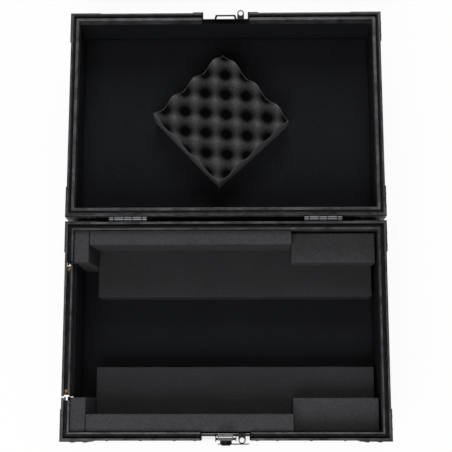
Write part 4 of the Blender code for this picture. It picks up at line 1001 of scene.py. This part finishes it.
def ball_rivets(half, end):
    """Spots of the rivets on the three plates of every ball corner of a half."""
    sign = -1 if half == "base" else 1
    spots = []
    for side in (-1, 1):
        for rear in (0, 1):
            for near, far in (BALL_SPOTS, BALL_SPOTS[::-1]):
                depth = end + BALL_DROP - far
                across = side * (HALF_WIDTH - BALL_SEAT - near)
                along = BALL_SEAT + near if rear else CASE_DEPTH - BALL_SEAT - near
                spots += on_faces(half, "rear" if rear else "front", [(across, depth)], BALL_FACE)
                spots += on_faces(half, "right" if side > 0 else "left", [(along, depth)], BALL_FACE)
                under = (side * (HALF_WIDTH - near), -far if rear else far - CASE_DEPTH,
                         sign * (end + BALL_UNDER))
                spots += in_half(half, [(under, (0.0, 0.0, sign))])
    return spots


class FLIGHTCASE_OT_rivets(bpy.types.Operator):
    """Set the rivets of the braces, the edge angles and the ball corners"""

    bl_idname = "flight_case.rivets"
    bl_label = "Rivets"

    def execute(self, context):
        sizes = context.scene.case_sizes
        for half, end in (("base", BASE_END), ("lid", LID_END)):
            add_rivets(half + "_brace_rivets", half, "edge", "black_rivet", brace_rivets(half),
                       BIG_RIVET, BIG_RIVET_HEIGHT)
            spots = angle_rivets(half, end) + ball_rivets(half, end)
            add_rivets(half + "_angle_rivets", half, "edge", "black_rivet", spots,
                       sizes.rivet_radius, sizes.rivet_height)
        return {"FINISHED"}


# Hinges

HINGE_SPREAD = 0.1615
LEAF_FACE = 0.0018
LEAF_MIDDLE = 0.01245
KNUCKLE_SEAMS = (-0.0234, -0.0068, 0.0068, 0.0234)
SEAM_HALF = 0.0009
KNUCKLE_REACH = 0.0042
LEAF_EDGE = 0.0003
LEAF_HOLES = 0.0225
LEAF_RIVET = 0.0028
LEAF_RIVET_HEIGHT = 0.001


def paint_seams(half, centre):
    """Give the way to paint a hinge leaf: painted shade at the seams between its knuckles."""
    def paint(graph):
        seams = [centre + place for place in KNUCKLE_SEAMS]
        cut_across(graph, half, [seam + side * SEAM_HALF for seam in seams for side in (-1, 1)])
        for face, middle, _, _ in faces_in_half(graph, half):
            away = math.hypot(middle.y - HINGE_OUT, middle.z - HINGE_UP)
            # Painted shade: the knuckle faces next to each seam take the deep black.
            if away < KNUCKLE_REACH and min(abs(middle.x - seam) for seam in seams) < SEAM_HALF:
                face.material_index = 2
    return paint


class FLIGHTCASE_OT_hinges(bpy.types.Operator):
    """Finish the back hinges with their pins and rivets"""

    bl_idname = "flight_case.hinges"
    bl_label = "Back hinges"

    def execute(self, context):
        keys = ("zinc_hinge", "zinc_hinge", "hinge_seam")
        for side, sign in (("left", -1), ("right", 1)):
            for half in ("base", "lid"):
                dress_node(half + "_hinge_leaf_" + side, "hinge", keys, LEAF_EDGE,
                           paint=paint_seams(half, sign * HINGE_SPREAD))
            repaint("hinge_pin_" + side, "zinc_hinge")
        for half, sign in (("base", -1), ("lid", 1)):
            spots = []
            for side in (-1, 1):
                for step in (-1, 0, 1):
                    place = (side * HINGE_SPREAD + step * LEAF_HOLES, LEAF_FACE,
                             HINGE_UP + sign * LEAF_MIDDLE)
                    spots.append((place, (0.0, 1.0, 0.0)))
            add_rivets(half + "_hinge_rivets", half, "hinge", "zinc_hinge", in_half(half, spots),
                       LEAF_RIVET, LEAF_RIVET_HEIGHT)
        return {"FINISHED"}


# Latch

# Span across the base's ramp of the painted reflection of the black rim.
RAMP_REFLECTION = (-0.3497, -0.3457)
# Rivets of each dish: reach to the side, depths, height of the face, radius and height of the head
LATCH_RIVETS = {
    "base": (0.0505, (0.025, 0.052), 0.0008, 0.0048, 0.0024),
    "lid": (0.0475, (0.024, 0.046), -0.0015, 0.0042, 0.0016),
}


def paint_dish(half):
    """Give the way to paint a dish: dark cut edges, and a painted reflection of the black rim as a strip high
    on the base's ramp.
    """
    def paint(graph):
        cut_across(graph, half, RAMP_REFLECTION, 1)
        for face, middle, way, _ in faces_in_half(graph, half):
            cut_edge = abs(way.z) > 0.8 and abs(middle.z) < 0.004
            # Painted reflection: the strip high on the base's ramp takes the dark latch coating.
            on_ramp = half == "base" and way.z > 0.4 and RAMP_REFLECTION[0] < middle.y < RAMP_REFLECTION[1]
            if cut_edge or on_ramp:
                face.material_index = 1
    return paint


class FLIGHTCASE_OT_latch(bpy.types.Operator):
    """Finish the recessed latch: dishes, keeper, frame, hook and wing"""

    bl_idname = "flight_case.latch"
    bl_label = "Recessed latch"

    def execute(self, context):
        edge = context.scene.case_sizes.plate_edge
        for half in ("base", "lid"):
            dress_node(half + "_latch_dish", "dish", ("plated_dish", "coated_latch"), edge * 3 / 4,
                       paint=paint_dish(half))
        for node in ("latch_keeper", "latch_frame", "latch_wing"):
            dress_node(node, "latch", ("coated_latch", "coated_latch"), edge * 3 / 4)
        dress_node("latch_hook", "latch", ("satin_hook", "satin_hook"), edge * 3 / 4)
        for half, (reach, depths, face, radius, height) in LATCH_RIVETS.items():
            row = [(side * reach, depth) for side in (-1, 1) for depth in depths]
            add_rivets(half + "_latch_rivets", half, "dish", "black_rivet",
                       on_faces(half, "front", row, face), radius, height)
        return {"FINISHED"}


# Flap

class FLIGHTCASE_OT_flap(bpy.types.Operator):
    """Finish the drop-down flap's hinge"""

    bl_idname = "flight_case.flap"
    bl_label = "Flap hinge"

    def execute(self, context):
        for node in ("flap_hinge_leaf", "sill_hinge_leaf"):
            dress_node(node, "hinge", ("black_rivet", "rubbed_edge"), 0.0002)
        repaint("flap_hinge_pin", "zinc_hinge")
        return {"FINISHED"}


# Handle and feet

HANDLE_AXIS = Vector(JOINTS["handle_pivot"]["pos_m"])
BAIL_LENGTH = 0.043
SLEEVE_HALF = 0.0265
SLEEVE_RADIUS = 0.0042
SLEEVE_BORE = 0.0032
SLEEVE_ROUND = 0.0004
SLEEVE_END = 0.003
SLEEVE_RIBS = 14
RIB_DEPTH = 0.00045
PLATE_INSET = 0.0085
PLATE_THICK = 0.0015
PLATE_RIVET = 0.0036
PLATE_RIVET_HEIGHT = 0.0013
FOOT_EDGE = 0.0005


def turned_mesh(rings, middle, segments=28):
    """Closed turned mesh along Y from rings given as distance along and radius."""
    graph = bmesh.new()
    loops = []
    for along, radius in rings:
        loop = []
        for step in range(segments):
            angle = math.tau * step / segments
            loop.append(graph.verts.new(middle + Vector((radius * math.cos(angle), along,
                                                         radius * math.sin(angle)))))
        loops.append(loop)
    for first, second in zip(loops, loops[1:]):
        for step in range(segments):
            after = (step + 1) % segments
            graph.faces.new((first[step], second[step], second[after], first[after]))
    graph.faces.new(loops[0])
    graph.faces.new(loops[-1])
    bmesh.ops.recalc_face_normals(graph, faces=graph.faces)
    return mesh_from(graph, 50.0)


class FLIGHTCASE_OT_handle(bpy.types.Operator):
    """Finish the carrying handle: plate, bail and its ribbed sleeve"""

    bl_idname = "flight_case.handle"
    bl_label = "Handle"

    def execute(self, context):
        edge = context.scene.case_sizes.plate_edge
        dress_node("handle_plate", "handle", ("coated_corner", "rubbed_edge"), edge)
        dress_node("handle_bail", "handle", ("coated_corner", "coated_corner"), 0.0)
        rings = [(-SLEEVE_HALF, SLEEVE_BORE), (-SLEEVE_HALF, SLEEVE_RADIUS - SLEEVE_ROUND),
                 (-SLEEVE_HALF + SLEEVE_ROUND, SLEEVE_RADIUS)]
        step = (2 * SLEEVE_HALF - 2 * SLEEVE_END) / SLEEVE_RIBS
        for index in range(SLEEVE_RIBS):
            start = -SLEEVE_HALF + SLEEVE_END + index * step
            rings += [(start, SLEEVE_RADIUS), (start + step * 0.2, SLEEVE_RADIUS - RIB_DEPTH),
                      (start + step * 0.4, SLEEVE_RADIUS - RIB_DEPTH), (start + step * 0.6, SLEEVE_RADIUS)]
        rings += [(SLEEVE_HALF - SLEEVE_ROUND, SLEEVE_RADIUS), (SLEEVE_HALF, SLEEVE_RADIUS - SLEEVE_ROUND),
                  (SLEEVE_HALF, SLEEVE_BORE)]
        middle = HANDLE_AXIS - Vector((0.0, 0.0, BAIL_LENGTH))
        add_piece("bail_sleeve", turned_mesh(rings, middle), "bail_of_handle", "handle", "grip_sleeve")
        low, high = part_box("handle_plate")
        face = low.x + PLATE_THICK
        spots = []
        for rear in (low.y + PLATE_INSET, high.y - PLATE_INSET):
            for height in (low.z + PLATE_INSET, high.z - PLATE_INSET):
                spots.append((Vector((face, rear, height)), Vector((1.0, 0.0, 0.0))))
        add_rivets("handle_rivets", "base", "handle", "black_rivet", spots,
                   PLATE_RIVET, PLATE_RIVET_HEIGHT)
        return {"FINISHED"}


class FLIGHTCASE_OT_feet(bpy.types.Operator):
    """Finish the four rubber feet"""

    bl_idname = "flight_case.feet"
    bl_label = "Feet"

    def execute(self, context):
        for end in ("front", "rear"):
            for side in ("left", "right"):
                node = "_".join(("foot", end, side))
                dress_node(node, "foot", ("moulded_rubber", "moulded_rubber"), FOOT_EDGE)
        return {"FINISHED"}


# Stage

CAMERA_PLACE = (0.026596, -0.305037, 1.820377)
CAMERA_TILT = math.radians(9.915)
CAMERA_YAW = math.radians(-0.801)
CAMERA_ROLL = math.radians(-0.200)
CAMERA_LENS = 81.79
CAMERA_SHIFT = (-0.0054, 0.0022)
FLOOR_FADE = 0.03


def outside_case(tree):
    """Socket that is 0 on the floor under the open case and rises to 1 around it."""
    where = add_node(tree, "ShaderNodeTexCoord").outputs["Object"]
    place = add_node(tree, "ShaderNodeSeparateXYZ", {0: where})
    apart = []
    for axis in (0, 1):
        middle = (CAD_BOX[0][axis] + CAD_BOX[1][axis]) / 2
        half = (CAD_BOX[1][axis] - CAD_BOX[0][axis]) / 2
        moved = add_node(tree, "ShaderNodeMath", {0: place.outputs[axis], 1: middle}, operation="SUBTRACT")
        reach = add_node(tree, "ShaderNodeMath", {0: moved.outputs[0]}, operation="ABSOLUTE")
        apart.append(span(tree, reach.outputs[0], half - FLOOR_FADE, half))
    return add_node(tree, "ShaderNodeMath", {0: apart[0], 1: apart[1]}, operation="MAXIMUM").outputs[0]


def seen_white(tree, share):
    """Socket that is this share for what the camera, gloss or glass sees, else nothing."""
    path = add_node(tree, "ShaderNodeLightPath")
    first = add_node(tree, "ShaderNodeMath", {0: path.outputs["Is Camera Ray"],
                                              1: path.outputs["Is Glossy Ray"]}, operation="ADD")
    both = add_node(tree, "ShaderNodeMath", {0: first.outputs[0], 1: path.outputs["Is Transmission Ray"]},
                    operation="ADD")
    held = add_node(tree, "ShaderNodeMath", {0: both.outputs[0], 1: 1.0}, operation="MINIMUM")
    return add_node(tree, "ShaderNodeMath", {0: held.outputs[0], 1: share}, operation="MULTIPLY").outputs[0]


def studio_floor():
    """Pale seamless paper under soft light: white where nothing shades it, with soft shadows."""
    made = bpy.data.materials.new("studio_paper")
    made.use_nodes = True
    tree = made.node_tree
    tree.nodes.clear()
    matt = add_node(tree, "ShaderNodeBsdfDiffuse", {"Color": linear("#fbfbfb")})
    white = add_node(tree, "ShaderNodeEmission", {"Color": (1.0, 1.0, 1.0, 1.0), "Strength": 1.0})
    shown = add_node(tree, "ShaderNodeMath", {0: seen_white(tree, 0.93), 1: outside_case(tree)},
                     operation="MULTIPLY")
    mixed = add_node(tree, "ShaderNodeMixShader", {0: shown.outputs[0], 1: matt.outputs[0],
                                                   2: white.outputs[0]})
    add_node(tree, "ShaderNodeOutputMaterial", {0: mixed.outputs[0]})
    return made


def add_lamp(name, place, target, size, power):
    """Add a square softbox that faces a point."""
    lamp = bpy.data.lights.new(name, "AREA")
    lamp.shape = "SQUARE"
    lamp.size = size
    lamp.energy = power
    holder = bpy.data.objects.new(name, lamp)
    bpy.context.scene.collection.objects.link(holder)
    holder.location = place
    holder.rotation_euler = (Vector(target) - Vector(place)).to_track_quat("-Z", "Y").to_euler()
    return holder


def add_camera():
    """Add the camera at the place and angle that the photograph was taken from."""
    ahead = Vector((0.0, math.sin(CAMERA_TILT), -math.cos(CAMERA_TILT)))
    above = Vector((0.0, math.cos(CAMERA_TILT), math.sin(CAMERA_TILT)))
    right = Vector((1.0, 0.0, 0.0))
    look = ahead * math.cos(CAMERA_YAW) + right * math.sin(CAMERA_YAW)
    side = right * math.cos(CAMERA_YAW) - ahead * math.sin(CAMERA_YAW)
    across = side * math.cos(CAMERA_ROLL) + above * math.sin(CAMERA_ROLL)
    upward = above * math.cos(CAMERA_ROLL) - side * math.sin(CAMERA_ROLL)
    camera = bpy.data.cameras.new("camera")
    camera.lens = CAMERA_LENS
    camera.shift_x, camera.shift_y = CAMERA_SHIFT
    holder = bpy.data.objects.new("camera", camera)
    bpy.context.scene.collection.objects.link(holder)
    turn = Matrix((across, upward, -look)).transposed().to_4x4()
    holder.matrix_world = Matrix.Translation(CAMERA_PLACE) @ turn
    bpy.context.scene.camera = holder


class FLIGHTCASE_OT_stage(bpy.types.Operator):
    """Set up the white floor, the softboxes, the pale surround and the camera"""

    bl_idname = "flight_case.stage"
    bl_label = "Studio stage"

    def execute(self, context):
        levels = context.scene.case_stage
        graph = bmesh.new()
        bmesh.ops.create_grid(graph, x_segments=1, y_segments=1, size=6.0)
        floor = bpy.data.objects.new("floor", mesh_from(graph))
        context.scene.collection.objects.link(floor)
        floor.data.materials.append(studio_floor())
        for name, place, share in (("front_softbox", (-0.3, -1.4, 1.85), 0.83),
                                   ("rear_softbox", (0.1, 2.05, 1.75), 0.88)):
            add_lamp(name, place, (0.0, 0.0, 0.1), 1.3, levels.lamp_power * share)
        world = bpy.data.worlds.new("pale_surround")
        context.scene.world = world
        world.use_nodes = True
        tree = world.node_tree
        tree.nodes.clear()
        glow = add_node(tree, "ShaderNodeBackground", {"Color": (1.0, 1.0, 1.0, 1.0),
                                                       "Strength": levels.sky_level})
        way = add_node(tree, "ShaderNodeSeparateXYZ", {0: add_node(tree, "ShaderNodeTexCoord").outputs[0]})
        above = span(tree, way.outputs[2], 0.3, 0.75, 1.0, levels.ceiling_level)
        white = add_node(tree, "ShaderNodeBackground", {"Color": (1.0, 1.0, 1.0, 1.0), "Strength": above})
        mixed = add_node(tree, "ShaderNodeMixShader", {0: seen_white(tree, 1.0), 1: glow.outputs[0],
                                                       2: white.outputs[0]})
        add_node(tree, "ShaderNodeOutputWorld", {0: mixed.outputs[0]})
        add_camera()
        context.scene.view_settings.view_transform = "Standard"
        return {"FINISHED"}


OPERATORS = (
    FLIGHTCASE_OT_foam_blocks,
    FLIGHTCASE_OT_linings,
    FLIGHTCASE_OT_egg_crate_pad,
    FLIGHTCASE_OT_plywood,
    FLIGHTCASE_OT_rims,
    FLIGHTCASE_OT_edge_angles,
    FLIGHTCASE_OT_rivets,
    FLIGHTCASE_OT_hinges,
    FLIGHTCASE_OT_latch,
    FLIGHTCASE_OT_flap,
    FLIGHTCASE_OT_handle,
    FLIGHTCASE_OT_feet,
    FLIGHTCASE_OT_stage,
)


class FLIGHTCASE_PT_steps(bpy.types.Panel):
    """Panel that lists the sizes, the colours and the steps."""

    bl_idname = "FLIGHTCASE_PT_steps"
    bl_label = "Flight case"
    bl_space_type = "VIEW_3D"
    bl_region_type = "UI"
    bl_category = "Flight case"

    def draw(self, context):
        layout = self.layout
        for group in (context.scene.case_finishes, context.scene.case_sizes, context.scene.case_stage):
            box = layout.box()
            for name in group.bl_rna.properties.keys():
                if name not in ("rna_type", "name"):
                    box.prop(group, name)
        for step in OPERATORS:
            layout.operator(step.bl_idname)


GROUPS = (("case_finishes", CaseFinishes), ("case_sizes", CaseSizes), ("case_stage", CaseStage))


def register():
    """Register the property groups, the operators and the panel."""
    for name, group in GROUPS:
        bpy.utils.register_class(group)
        setattr(bpy.types.Scene, name, PointerProperty(type=group))
    for step in OPERATORS:
        bpy.utils.register_class(step)
    bpy.utils.register_class(FLIGHTCASE_PT_steps)


def unregister():
    """Remove the panel, the operators and the property groups."""
    bpy.utils.unregister_class(FLIGHTCASE_PT_steps)
    for step in reversed(OPERATORS):
        bpy.utils.unregister_class(step)
    for name, group in reversed(GROUPS):
        delattr(bpy.types.Scene, name)
        bpy.utils.unregister_class(group)


def main():
    """Build every piece and the stage."""
    register()
    for step in OPERATORS:
        area, name = step.bl_idname.split(".")
        getattr(getattr(bpy.ops, area), name)()


if __name__ == "__main__":
    main()
